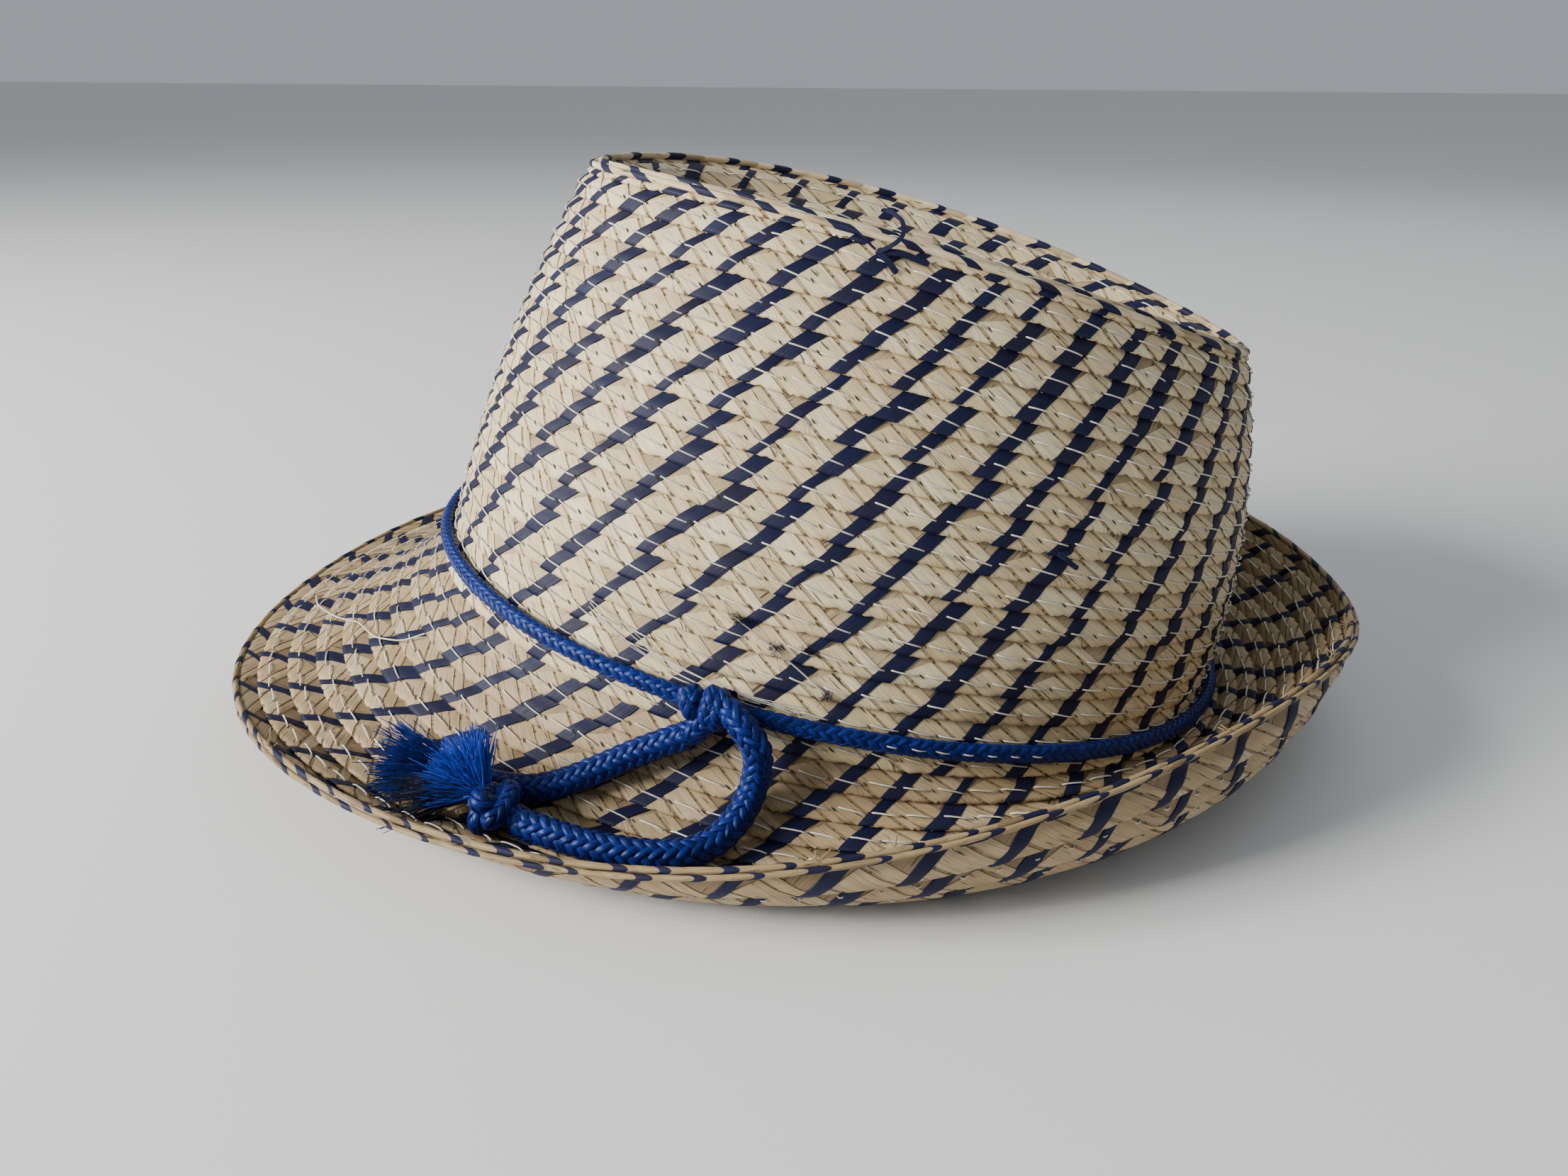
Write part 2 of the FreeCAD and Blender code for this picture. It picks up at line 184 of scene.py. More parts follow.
# ---- cord, mm; a weave: its lead, then number, half width and half depth of strands ----
BAND_STEP = 42.9
BAND_RISE_AT_BACK = 0.9
BAND_RISE_POWER = 8
BAND_OUT = 3.05
BAND_HALF_HEIGHT = 1.9
BAND_HALF_THICKNESS = 1.5
BAND_SAMPLE = 0.66
BAND_WEAVE = (15.0, 6, 0.72, 0.38)
KNOT_ANGLE = math.radians(-11.0)
KNOT_HALF_LENGTH = 5.5
KNOT_OUT = 4.9
KNOT_WEAVE = (11.0, 6, 0.8, 0.34)
COIL_RADIUS = 2.0
COILS = (
    (0.3, 2.2, 2.9, -1.0, 2.2, 2.7, 0.35),
    (0.05, 1.15, -3.4, -4.8, 1.5, 1.9, -0.8),
)
LINK_RADIUS = 2.75
CORD_SAMPLE = 0.35
TAIL_SAMPLE = 0.4
TAIL_RADIUS = 2.9
TAIL_WEAVE = (20.0, 8, 0.88, 0.5)
UPPER_TAIL = [
    (87.7, -23.2, -2.3), (87.7, -31.2, -7.4), (89.2, -39.8, -13.6),
    (92.0, -48.0, -18.3), (93.8, -56.2, -20.8), (92.2, -64.0, -21.6),
]
LOWER_TAIL = [
    (91.0, -13.3, 4.9), (92.6, -8.9, 2.2), (92.6, -7.4, -3.6), (93.6, -7.8, -9.6),
    (97.2, -9.3, -13.6), (102.6, -12.8, -16.6), (106.6, -18.0, -18.1), (108.4, -26.0, -19.0),
    (108.2, -36.5, -19.8), (105.6, -47.0, -20.8), (103.4, -53.6, -21.3),
]
END_WEAVE = (12.0, 6, 0.85, 0.36)
UPPER_END_KNOT = ((91.4, -68.4, -20.9), (4.6, 4.6, 4.6), 1.8)
LOWER_END_KNOT = ((102.0, -58.8, -19.9), (5.0, 5.7, 5.8), 2.1)
# the core's dark blue is painted shade between the strands
STRAND, CORE_SHADE = 0, 1

# ---- tassels, mm and radians: direction, side, spread, depth, reach, number and look ----
FIBRE_RADIUS = 0.17
BLUE, BLACK = 0, 1
RISING = (-0.4, 0.0, 0.9)
TASSELS = (
    ("tassel_upper", "tassel_dark", (91.9, -71.4, -20.6), (
        ((0.15, -1.0, 0.0), RISING, 0.55, 0.45, (12.0, 18.5), 460, BLUE),
        ((0.28, -1.0, -0.15), RISING, 0.25, 0.3, (12.0, 19.0), 90, BLACK),
    )),
    ("tassel_lower", "tassel", (99.8, -63.4, -18.0), (
        ((-0.2, -0.88, 0.42), RISING, 0.95, 0.55, (10.0, 13.5), 640, BLUE),
        ((0.3, -1.0, -0.28), (0.5, 0.0, -0.6), 0.3, 0.25, (14.0, 21.0), 130, BLACK),
    )),
)

# ---- sweatband, mm off the skin and places ----
SWEATBAND_OUTS = (-2.7, -2.0)
SWEATBAND_PLACES = (WALL_END - 9.0, WALL_END - 1.0)

# ---- looks: a stop is its position and colour ----
BUMP_DISTANCE = 0.0003
FIBRE_SEED_SCALE = 37.0
BLUE_GLOSS = (0.4, 0.55, 1.0)
# the dark stops at 0.75 and 1.0 are painted shade on the lower-lying strips, and random darker tone on
# the rolls at the edge and ridge
NATURAL_TINTS = (
    (0.0, (0.76, 0.62, 0.37)), (0.2, (0.65, 0.53, 0.31)), (0.38, (0.84, 0.735, 0.49)),
    (0.55, (0.70, 0.55, 0.33)), (0.7, (0.78, 0.66, 0.43)), (0.75, (0.43, 0.33, 0.19)),
    (1.0, (0.52, 0.41, 0.25)),
)
NAVY_TINTS = (
    (0.0, (0.005, 0.007, 0.034)), (0.6, (0.007, 0.010, 0.048)), (1.0, (0.010, 0.009, 0.034)),
)
# dark brown for the sheet under the strips and for the edges of the straw strips: painted shade
UNDER_SHADE_TINTS = ((0.0, (0.20, 0.14, 0.075)), (1.0, (0.20, 0.14, 0.075)))
# near-black discs at the needle holes: painted shade
HOLE_SHADE_TINTS = ((0.0, (0.03, 0.02, 0.012)), (1.0, (0.03, 0.02, 0.012)))
# darker, warmer copies of the straw for the brim and the rims: partly painted shade, partly a browner
# straw
BRIM_SHADE_SHARE = (0.63, 0.575, 0.535)
RIM_SHADE_SHARE = (0.47, 0.43, 0.365)

# ---- surroundings, metres and watts ----
FLOOR_SIZE = 60.0
FLOOR_COLOUR = (0.74, 0.74, 0.73, 1.0)
SKY_COLOUR = (0.86, 0.92, 1.0, 1.0)
SKY_STRENGTH = 0.40
LAMPS = (
    ((0.58, -1.3, 0.68), 0.7, 58.0, (1.0, 0.98, 0.95)),
    ((-0.9, 0.5, 1.2), 1.2, 4.0, (0.95, 0.97, 1.0)),
)
LAMP_TARGET = (0, 0, 0.04)


def laid_down(points):
    """Points of the upright hat, mm, in the row frame, metres."""
    points = np.asarray(points, float)
    c, s = math.cos(REST_TILT), math.sin(REST_TILT)
    x, y, z = points[..., 0], points[..., 1], points[..., 2]
    turned = np.stack([x, y * c + z * s, -y * s + z * c], axis=-1)
    return (turned + SHIFT) * 0.001


# ---- camera ----
def make_camera():
    ca, sa = math.cos(CAMERA_AZIMUTH), math.sin(CAMERA_AZIMUTH)
    ce, se = math.cos(CAMERA_ELEVATION), math.sin(CAMERA_ELEVATION)
    cr, sr = math.cos(CAMERA_ROLL), math.sin(CAMERA_ROLL)
    back = np.array([ce * ca, ce * sa, se])
    right = np.array([-sa, ca, 0.0])
    up = np.cross(back, right)
    origin = laid_down([0.0, 0.0, 0.0])
    turned = (right * cr + up * sr, up * cr - right * sr, back)
    axes = [(laid_down(axis) - origin) * 1000 for axis in turned]
    spot = laid_down(CAMERA_PLACE)
    data = bpy.data.cameras.new("camera")
    data.sensor_width = SENSOR_WIDTH
    data.lens = LENS
    camera = bpy.data.objects.new("camera", data)
    bpy.context.collection.objects.link(camera)
    rows = [[axes[0][k], axes[1][k], axes[2][k], spot[k]] for k in range(3)]
    camera.matrix_world = Matrix(rows + [[0, 0, 0, 1]])
    bpy.context.scene.camera = camera


# ---- meshes ----
class Piece:
    """Collects grids of points and makes one object of them."""

    def __init__(self, name, materials):
        self.name, self.materials = name, materials
        self.points, self.faces, self.fibres, self.kinds = [], [], [], []
        self.count = 0

    def add_grids(self, points, fibres, material):
        """points and fibres: (grids, rows, columns, 3)."""
        points = np.asarray(points, float)
        grids, rows, columns = points.shape[:3]
        index = np.arange(grids * rows * columns).reshape(grids, rows, columns) + self.count
        corners = [index[:, :-1, :-1], index[:, 1:, :-1], index[:, 1:, 1:], index[:, :-1, 1:]]
        quads = np.stack(corners, axis=-1)
        self.points.append(points.reshape(-1, 3))
        self.fibres.append(np.broadcast_to(fibres, points.shape).reshape(-1, 3))
        self.faces.append(quads.reshape(-1, 4))
        self.kinds.append(np.full(quads.size // 4, material))
        self.count += grids * rows * columns

    def build(self, placed=True):
        points = np.concatenate(self.points)
        points = laid_down(points) if placed else points
        faces = np.concatenate(self.faces)
        mesh = bpy.data.meshes.new(self.name)
        mesh.vertices.add(len(points))
        mesh.vertices.foreach_set("co", points.astype(np.float32).ravel())
        mesh.loops.add(faces.size)
        mesh.loops.foreach_set("vertex_index", faces.astype(np.int32).ravel())
        mesh.polygons.add(len(faces))
        mesh.polygons.foreach_set("loop_start", np.arange(0, faces.size, 4, dtype=np.int32))
        for material in self.materials:
            mesh.materials.append(material)
        mesh.polygons.foreach_set("material_index", np.concatenate(self.kinds).astype(np.int32))
        mesh.polygons.foreach_set("use_smooth", np.ones(len(faces), dtype=bool))
        attribute = mesh.attributes.new("fibre", "FLOAT_VECTOR", "POINT")
        attribute.data.foreach_set("vector", np.concatenate(self.fibres).astype(np.float32).ravel())
        mesh.update(calc_edges=True)
        made = bpy.data.objects.new(self.name, mesh)
        bpy.context.collection.objects.link(made)
        return made


def unit(vectors):
    return vectors / np.maximum(np.linalg.norm(vectors, axis=-1, keepdims=True), 1e-9)


def tubes(paths, radius, sides):
    """Thin round tubes along many paths at once: (tubes, points, 3)."""
    paths = np.asarray(paths, float)
    along = unit(np.gradient(paths, axis=1))
    helper = np.zeros_like(along)
    helper[..., 2] = 1.0
    steep = np.abs(along[..., 2]) > 0.9
    helper[steep] = (1.0, 0.0, 0.0)
    first = unit(np.cross(along, helper))
    second = np.cross(along, first)
    turns = np.linspace(0, 2 * math.pi, sides + 1)
    radius = np.broadcast_to(radius, paths.shape[:2])[..., None, None]
    ring = first[:, :, None] * np.cos(turns)[:, None] + second[:, :, None] * np.sin(turns)[:, None]
    grid = paths[:, :, None] + ring * radius
    steps = np.linalg.norm(np.diff(paths, axis=1), axis=-1)
    length = np.concatenate([np.zeros((len(paths), 1)), np.cumsum(steps, axis=1)], axis=1)
    fibres = np.zeros(grid.shape)
    fibres[..., 0] = length[:, :, None]
    fibres[..., 1] = turns * 0.5
    fibres[..., 2] = random.random(len(paths))[:, None, None]
    return grid, fibres


def add_tubes(piece, paths, radius, sides, kind):
    grid, fibres = tubes(paths, radius, sides)
    piece.add_grids(grid, fibres, kind)


# ---- skin of the hat, tabulated over the angle ----
def powers(factors, value):
    return sum(factor * value ** power for power, factor in enumerate(factors))


def stacked(x, y, z):
    return np.stack(np.broadcast_arrays(x, y, z), axis=-1).astype(float)


def rounded(points):
    middle = (points[:, :-2] + points[:, 1:-1] * 2 + points[:, 2:]) * 0.25
    return np.concatenate([points[:, :1], middle, points[:, -1:]], axis=1)


def meridians(angle):
    """Skin points (angles, places, 3) from the crease to the edge of the brim."""
    c, s = np.cos(angle), np.sin(angle)
    base = stacked(BASE_HALF_WIDTH * c * (1 + BASE_EGG * s), BASE_HALF_LENGTH * s, powers(BASE_RISE, s))
    height = powers(RIDGE_HEIGHT, s) + RIDGE_DROP_FRONT * np.maximum(-s, 0.0) ** 8
    half_width = RIDGE_HALF_WIDTH * c * (1 + RIDGE_EGG * s)
    ridge = stacked(half_width, RIDGE_SHIFT_BACK + RIDGE_HALF_LENGTH * s, height)
    along = CREASE_HALF_LENGTH * np.sin(math.pi / 2 * s)
    slope = RIDGE_HEIGHT[1] / RIDGE_HALF_LENGTH
    floor = stacked(0.0, RIDGE_SHIFT_BACK + along, RIDGE_HEIGHT[0] - CREASE_DEPTH + slope * along)
    outward = stacked(c, s, 0.0)
    points = []
    for step in range(TIP_STEPS):
        share = CREASE_START + (1 - CREASE_START) * step / TIP_STEPS
        point = floor + (ridge - floor) * share
        point[:, 2] = floor[:, 2] + (ridge[:, 2] - floor[:, 2]) * share ** CREASE_POWER
        points.append(point)
    for step in range(WALL_STEPS):
        share = step / WALL_STEPS
        bulge = powers(WALL_BULGE, s) * 4 * share * (1 - share)
        points.append(ridge + (base - ridge) * share + outward * bulge[:, None])
    across = unit(stacked(c / BASE_HALF_WIDTH, s / BASE_HALF_LENGTH, 0.0))
    points.append(base)
    start, end = powers(BRIM_SLOPE_AT_CROWN, s), powers(BRIM_SLOPE_AT_EDGE, s)
    length = powers(BRIM_WIDTH, s)[:, None] / BRIM_STEPS
    for step in range(BRIM_STEPS):
        tilt = start + (end - start) * ((step + 0.5) / BRIM_STEPS) ** BRIM_CURL_POWER
        way = across * np.cos(tilt)[:, None]
        way[:, 2] = np.sin(tilt)
        points.append(points[-1] + way * length)
    return rounded(rounded(np.stack(points, axis=1)))


TABLE = 1440
NUDGE = 0.02
table_angles = np.linspace(0, 2 * math.pi, TABLE + 1)
skin_points = meridians(table_angles)
skin_down = np.empty_like(skin_points)
skin_down[:, 1:-1] = skin_points[:, 2:] - skin_points[:, :-2]
skin_down[:, 0] = skin_points[:, 1] - skin_points[:, 0]
skin_down[:, -1] = skin_points[:, -1] - skin_points[:, -2]
skin_down = unit(skin_down)
skin_round = meridians(table_angles + NUDGE) - meridians(table_angles - NUDGE)
skin_out = unit(np.cross(skin_down, skin_round))


def looked_up(table, angle, place):
    """Values of a skin table between its angles and places."""
    row = (angle / (2 * math.pi) * TABLE) % TABLE
    column = np.clip(place, 0, BRIM_END - 1e-6)
    r, k = row.astype(int), column.astype(int)
    across, along = (row - r)[..., None], (column - k)[..., None]
    near = table[r, k] * (1 - along) + table[r, k + 1] * along
    far = table[r + 1, k] * (1 - along) + table[r + 1, k + 1] * along
    return near * (1 - across) + far * across


def near_skin(angle, place, down, out):
    """Points some millimetres down the meridian and off the skin."""
    angle, place, down, out = np.broadcast_arrays(angle, place, down, out)
    shift = unit(looked_up(skin_down, angle, place)) * down[..., None]
    lift = unit(looked_up(skin_out, angle, place)) * out[..., None]
    return looked_up(skin_points, angle, place) + shift + lift


# ---- braid courses ----
def course_places():
    places = [TIP_STEPS * k / TIP_COURSES for k in range(TIP_COURSES)]
    places += [TIP_END + WALL_STEPS * k / WALL_COURSES for k in range(WALL_COURSES)]
    places += [WALL_END + BRIM_STEPS * k / BRIM_COURSES for k in range(BRIM_COURSES)]
    return places + [BRIM_END]


def course_name(number):
    if number < TIP_COURSES:
        return "tip_course_%02d" % (number + 1)
    if number < TIP_COURSES + WALL_COURSES:
        return "crown_course_%02d" % (number + 1 - TIP_COURSES)
    return "brim_course_%02d" % (number + 1 - TIP_COURSES - WALL_COURSES)


def eased(value, low, high):
    t = np.clip((value - low) / (high - low), 0, 1)
    return t * t * (3 - 2 * t)


def outer_height(w):
    return UPPER_HEIGHT + HEIGHT_GAIN * eased(w, 0.3, 1.0)


def inner_height(w):
    return outer_height(w) - 2 * FOLD_RADIUS


def run_along(path):
    steps = np.linalg.norm(np.diff(path, axis=0), axis=1)
    return np.concatenate([[0.0], np.cumsum(steps)])


class Course:
    """One turn of the braid: where a point at x along and v across it lies."""

    def __init__(self, number):
        places = course_places()
        self.start = places[number]
        self.pitch = places[number + 1] - self.start
        last = number == len(places) - 2
        self.edge = 1.0 if last else 1.0 + TUCKED
        self.reach = run_along(near_skin(table_angles, self.start + 0.9 * self.pitch, 0.0, 0.5))
        self.length = self.reach[-1]

    def angle(self, x):
        return np.interp(np.mod(x, self.length), self.reach, table_angles)

    def outer(self, x, v, lift):
        """v = 0 at the edge of the course before, 1 at the lower fold."""
        return self.place(x, v, lift, TUCKED, self.edge, 1.0)

    def inner(self, x, v, lift):
        return self.place(x, v, lift, 1.0, 0.0, -1.0)

    def place(self, x, v, lift, w_start, w_edge, side):
        x, v, lift = np.broadcast_arrays(x, v, lift)
        fold = np.clip((v - 1) / FOLD, 0, 1) * math.pi
        beyond = np.maximum(v - 1 - FOLD, 0)
        w = w_start + (w_edge - w_start) * (np.minimum(v, 1) - beyond)
        near, far = (outer_height, inner_height) if side > 0 else (inner_height, outer_height)
        middle = (outer_height(w_edge) + inner_height(w_edge)) / 2
        flat = near(w) + side * lift
        bent = middle + side * np.cos(fold) * (FOLD_RADIUS + lift)
        back = far(w) - side * lift
        height = np.where(v <= 1, flat, np.where(beyond > 0, back, bent))
        down = side * np.sin(fold) * (FOLD_RADIUS + lift)
        return near_skin(self.angle(x), self.start + w * self.pitch, down, height)


ACROSS = np.array([0.0, 0.05, 0.2, 0.5, 0.8, 0.95, 1.0])
CROWNED = np.array([-0.3, 0.86, 1.0, 1.08, 1.0, 0.86, -0.3])


def strips(piece, surface, left, right, lift, material, tints, edge_shade):
    """Flat strips and their edges; the edges of the straw strips are dark brown painted shade; left and
    right are (strips, points, 2) in x, v.
    """
    across = ACROSS[None, None, :, None]
    grid = left[:, :, None] * (1 - across) + right[:, :, None] * across
    points = surface(grid[..., 0], grid[..., 1], CROWNED * lift)
    run = np.linalg.norm(np.diff(points[:, :, 3], axis=1), axis=-1)
    wide = np.linalg.norm(points[:, :, -1] - points[:, :, 0], axis=-1)
    fibres = np.zeros(points.shape)
    fibres[:, 1:, :, 0] = np.cumsum(run, axis=1)[..., None]
    fibres[..., 1] = wide[..., None] * ACROSS
    fibres[..., 2] = random.uniform(*tints, len(points))[:, None, None]
    # the outer columns take the edge material: dark brown painted shade along the edges of the straw
    # strips
    for part, kind in ((slice(0, 2), edge_shade), (slice(1, 6), material), (slice(5, 7), edge_shade)):
        piece.add_grids(points[:, :, part], fibres[:, :, part], kind)


def edges(x, v):
    return np.stack(np.broadcast_arrays(x, v), axis=-1).astype(float)


def weave(piece, surface, length, phase, cells):
    """Strips of one course, on one face of it."""
    starts = phase + np.arange(cells) * length / cells + random.normal(0, CELL_JITTER, cells)
    following = np.roll(starts, -1)
    following[-1] += length
    room = following - starts
    navy = np.clip(random.normal(*NAVY_WIDTH, cells), *NAVY_LIMITS)
    after = np.roll(navy, -1)
    t = np.linspace(0, 1, 12)
    v = STRIP_TOP + t * 1.12
    split = navy + (room - navy) * random.uniform(0.35, 0.6, cells)
    lows = (navy - LONG_OVERLAP, split + STRIP_GAP)
    highs = (split - STRIP_GAP, room + LONG_OVERLAP)
    for low, high, lift in zip(lows, highs, LONG_LIFTS):
        left = edges((starts + low)[:, None] - SLANT * v, v)
        right = edges((starts + high)[:, None] - SLANT * v, v)
        strips(piece, surface, left, right, lift, STRAW, LONG_SHADED_TINTS, UNDER_SHADE)
    steep = SLANT + CROSS_SLANT
    nearer = navy + random.uniform(0.0, 2.0, cells)
    further = nearer + random.uniform(3.6, 5.4, cells)
    cut = random.uniform(-0.12, 0.2, cells)
    turn = random.uniform(-6.5, -3.8, cells)
    lowest = navy - CROSS_OVERLAP - steep * 1.08

    def cross(left, right, first_cut, lift):
        sides = []
        for side in (left, right):
            first = np.maximum((navy - CROSS_OVERLAP - side) / steep, first_cut)
            last = np.minimum((room + after * 0.55 - side) / steep, 1.0 + FOLD + 0.18)
            along = first[:, None] + np.maximum(last - first, 0.02)[:, None] * t
            sides.append(edges((starts + side)[:, None] + CROSS_SLANT * along, along))
        strips(piece, surface, *sides, lift, STRAW, CROSS_TINTS, UNDER_SHADE)

    cross(lowest, turn - STRIP_GAP, 0.0, CROSS_LIFTS[0])
    cross(turn + STRIP_GAP, nearer - STRIP_GAP, cut, CROSS_LIFTS[1])
    cross(nearer + STRIP_GAP, further, STRIP_TOP, CROSS_LIFTS[2])
    v = STRIP_TOP + np.linspace(0, 1, 16) * (1.0 + FOLD + 0.32)
    bend = random.uniform(-0.5, 0.5, cells)[:, None] * np.sin(math.pi * np.clip(v, 0, 1))
    left = edges(starts[:, None] - SLANT * v + bend, v)
    right = edges((starts + navy)[:, None] - SLANT * v + bend, v)
    strips(piece, surface, left, right, NAVY_LIFT, NAVY, (0.0, 1.0), NAVY)


def base_sheet(piece, course):
    """Closed thin sheet under the strips, with both folds; its dark brown is painted shade in the gaps
    between the strips.
    """
    columns = max(int(course.length / 2.5), 24)
    x = np.linspace(0, course.length, columns + 1)
    v = np.concatenate([np.linspace(-0.35, 1, 10), 1 + FOLD * np.array([0.25, 0.5, 0.75, 1.0])])
    outer = course.outer(x[:, None], v[None, :], 0.0)
    inner = course.inner(x[:, None], v[None, :], 0.0)
    fibres = np.zeros(outer.shape)
    fibres[..., 0] = v * 7
    fibres[..., 1] = x[:, None]
    fibres[..., 2] = 0.5
    piece.add_grids(outer[None], fibres[None], UNDER_SHADE)
    piece.add_grids(inner[None], fibres[None], UNDER_SHADE)


def cells_in(number, length):
    """Navy strips in one turn: the same number all the way down the crown."""
    if number < TIP_COURSES:
        return max(int(round(length / CELL)), 3)
    return CROWN_CELLS if number < TIP_COURSES + WALL_COURSES else BRIM_CELLS


def make_courses(looks):
    """Every turn of the braid; turned is the share of a turn that its strips have moved."""
    made = {}
    turned = 0.0
    for number in range(TIP_COURSES + WALL_COURSES + BRIM_COURSES):
        course = Course(number)
        name = course_name(number)
        on_brim = number >= TIP_COURSES + WALL_COURSES
        turned = turned - SLANT / course.length if on_brim else -SLANT * number / course.length
        # the brim's straw is darker: partly painted shade, partly a browner straw
        straw = looks["brim_straw_shaded"] if on_brim else looks["straw"]
        piece = Piece("braid_" + name, [straw, looks["navy"], looks["under"]])
        base_sheet(piece, course)
        phase = turned * course.length
        cells = cells_in(number, course.length)
        weave(piece, course.outer, course.length, phase, cells)
        weave(piece, course.inner, course.length, phase + INNER_SHIFT, cells)
        add_loose_ends(piece, name)
        made[name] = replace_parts(piece.build(), name)
    return made


def make_braid_start(looks):
    """Flat beginning of the braid on the floor of the crease."""
    slope = RIDGE_HEIGHT[1] / RIDGE_HALF_LENGTH
    half = CREASE_START * RIDGE_HALF_WIDTH + 1.5
    reach = CREASE_HALF_LENGTH + half

    def surface(x, v, lift):
        x, v, lift = np.broadcast_arrays(x, v, lift)
        along = np.clip(x, 0, 2 * reach) - reach
        z = RIDGE_HEIGHT[0] - CREASE_DEPTH + slope * along - 2.1 + lift
        return stacked((np.clip(v, 0, 1) - 0.5) * -2 * half, RIDGE_SHIFT_BACK + along, z)

    piece = Piece("braid_start_strip", [looks["straw"], looks["navy"], looks["under"]])
    x = np.linspace(0, 2 * reach, 30)
    v = np.array([0.0, 0.33, 0.66, 1.0])
    # dark brown sheet under the strips: painted shade between them
    for lift in (0.0, -0.4):
        sheet = surface(x[:, None], v[None, :], lift)
        piece.add_grids(sheet[None], sheet[None], UNDER_SHADE)
    weave(piece, surface, 2 * reach, 0.0, 6)
    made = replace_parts(piece.build(), "braid_start")
    return made


# ---- sewing thread ----
def make_thread(looks, name, numbers):
    """Stitches on the outer face, near-black discs between them that paint the shade of the needle
    holes, and dots on the inner face.
    """
    piece = Piece(name + "_stitches", [looks["thread"], looks["hole"], looks["fibre_black"]])
    for number in numbers:
        course = Course(number)
        count = int(round(course.length / STITCH_PITCH))
        pitch = course.length / count
        start = np.arange(count) * pitch + random.normal(0, 0.25, count) + random.uniform(0, pitch)
        length = pitch - random.uniform(*STITCH_GAPS, count)
        t = np.array([0.0, 0.06, 0.25, 0.5, 0.75, 0.94, 1.0])
        rise = np.array([-0.35, 0.42, 0.72, 0.76, 0.72, 0.42, -0.35])
        x = start[:, None] + length[:, None] * t
        tilt = random.normal(0.05, 0.02, count)[:, None]
        v = STITCH_PLACE + random.normal(0, 0.015, count)[:, None] + tilt * (t - 0.5) * 2
        add_tubes(piece, course.outer(x, v, rise), STITCH_RADIUS, 6, THREAD)
        # near-black disc between stitches: painted shade of a needle hole
        gap_x = (start + length + (pitch - length) / 2)[:, None, None]
        ring = np.linspace(0, 2 * math.pi, 9)[None, None, :]
        size = np.array([0.02, 1.0])[None, :, None]
        hole_x = gap_x + size * random.uniform(*HOLE_SIZES, count)[:, None, None] * np.cos(ring)
        slanted = 0.07 * np.cos(ring) + 0.03 * np.sin(ring)
        hole = course.outer(hole_x, STITCH_PLACE + 0.02 + size * slanted, HOLE_LIFT)
        piece.add_grids(hole, np.zeros(hole.shape), HOLE)
        back_x = np.linspace(0, 1, 4)[None, :] * 1.6 + (start + length)[:, None] - 0.2
        back = course.inner(back_x, 1 - STITCH_PLACE, np.array([-0.2, 0.5, 0.5, -0.2]))
        add_tubes(piece, back, STITCH_RADIUS, 5, THREAD)
    add_loose_ends(piece, name)
    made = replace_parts(piece.build(), name)
    return made


# ---- edge ----
def wound(piece, place, down, out, radius, lobe, navy_length, phase, tints):
    """Thin roll along a course: natural lobes with navy turns between."""
    reach = run_along(near_skin(table_angles, place, down, out))
    count = int(round(reach[-1] / lobe))
    turns = np.linspace(0, 2 * math.pi, 13)
    starts = phase + np.arange(count) * reach[-1] / count + random.normal(0, 0.9, count)
    lengths = np.append(np.diff(starts), reach[-1] - starts[-1] + starts[0])

    def sections(first, last, size, kind, swell, section_tints):
        t = np.linspace(0, 1, 12)[None, :, None]
        x = first[:, None, None] + (last - first)[:, None, None] * t
        x = x + ROLL_SKEW * np.cos(turns + 0.6)
        angle = np.interp(np.mod(x, reach[-1]), reach, table_angles)
        r = size * (1 + swell * np.sin(math.pi * t))
        points = near_skin(angle, place, down + r * np.cos(turns), out + r * np.sin(turns))
        fibres = np.zeros(points.shape)
        fibres[..., 0] = x
        fibres[..., 1] = r * turns
        fibres[..., 2] = random.uniform(*section_tints, len(first))[:, None, None]
        piece.add_grids(points, fibres, kind)

    middle = lengths * random.uniform(0.45, 0.7, count)
    sections(starts - 0.5, starts + middle, radius * 0.9, STRAW, 0.12, tints[0])
    sections(starts + middle - 1.5, starts + lengths + 0.8, radius * 0.84, STRAW, 0.2, tints[1])
    wide = np.clip(random.normal(navy_length, 1.0, count), 1.5, 8)
    sections(starts - 0.2, starts + wide, radius * 1.03, NAVY, 0.06, (0.0, 1.0))


def make_rim(looks, name, out, radius, navy_length, phase):
    # the rim's straw is darker still: partly painted shade, partly a browner straw
    piece = Piece(name + "_wound", [looks["rim_straw_shaded"], looks["navy"]])
    wound(piece, BRIM_END, RIM_DOWN, out, radius, RIM_LOBE, navy_length, phase, RIM_TINTS)
    add_loose_ends(piece, name)
    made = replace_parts(piece.build(), name)
    return made


# ---- loose ends, darning and the fold along the top ----
def skin_line(degrees, places, outs, samples=40):
    """Soft line over the skin through a few places."""
    knots = np.linspace(0, 1, len(degrees))
    t = np.linspace(0, 1, samples)
    line = [np.interp(t, knots, values) for values in (np.radians(degrees), places, outs)]
    kernel = np.ones(7) / 7
    line = [np.convolve(np.pad(values, 3, mode="edge"), kernel, mode="valid") for values in line]
    return near_skin(line[0], line[1], 0.0, line[2])


def ribbon(piece, path, width, facing, kind):
    """Flat strip along a path; facing is the way its face looks."""
    run = unit(np.gradient(path, axis=0))
    side = unit(np.cross(run, facing))
    across = np.array([-1.0, -0.5, 0.0, 0.5, 1.0]) * width / 2
    taper = np.clip(np.minimum(np.linspace(0.3, 9, len(path)), np.linspace(7, 0.5, len(path))), 0, 1)
    for lift in (0.0, -0.12):
        grid = path[:, None] + side[:, None] * (across * taper[:, None])[..., None] + facing * lift
        fibres = np.zeros(grid.shape)
        fibres[..., 0] = np.linspace(0, 8, len(path))[:, None]
        fibres[..., 1] = across
        fibres[..., 2] = 0.4
        piece.add_grids(grid[None], fibres[None], kind)


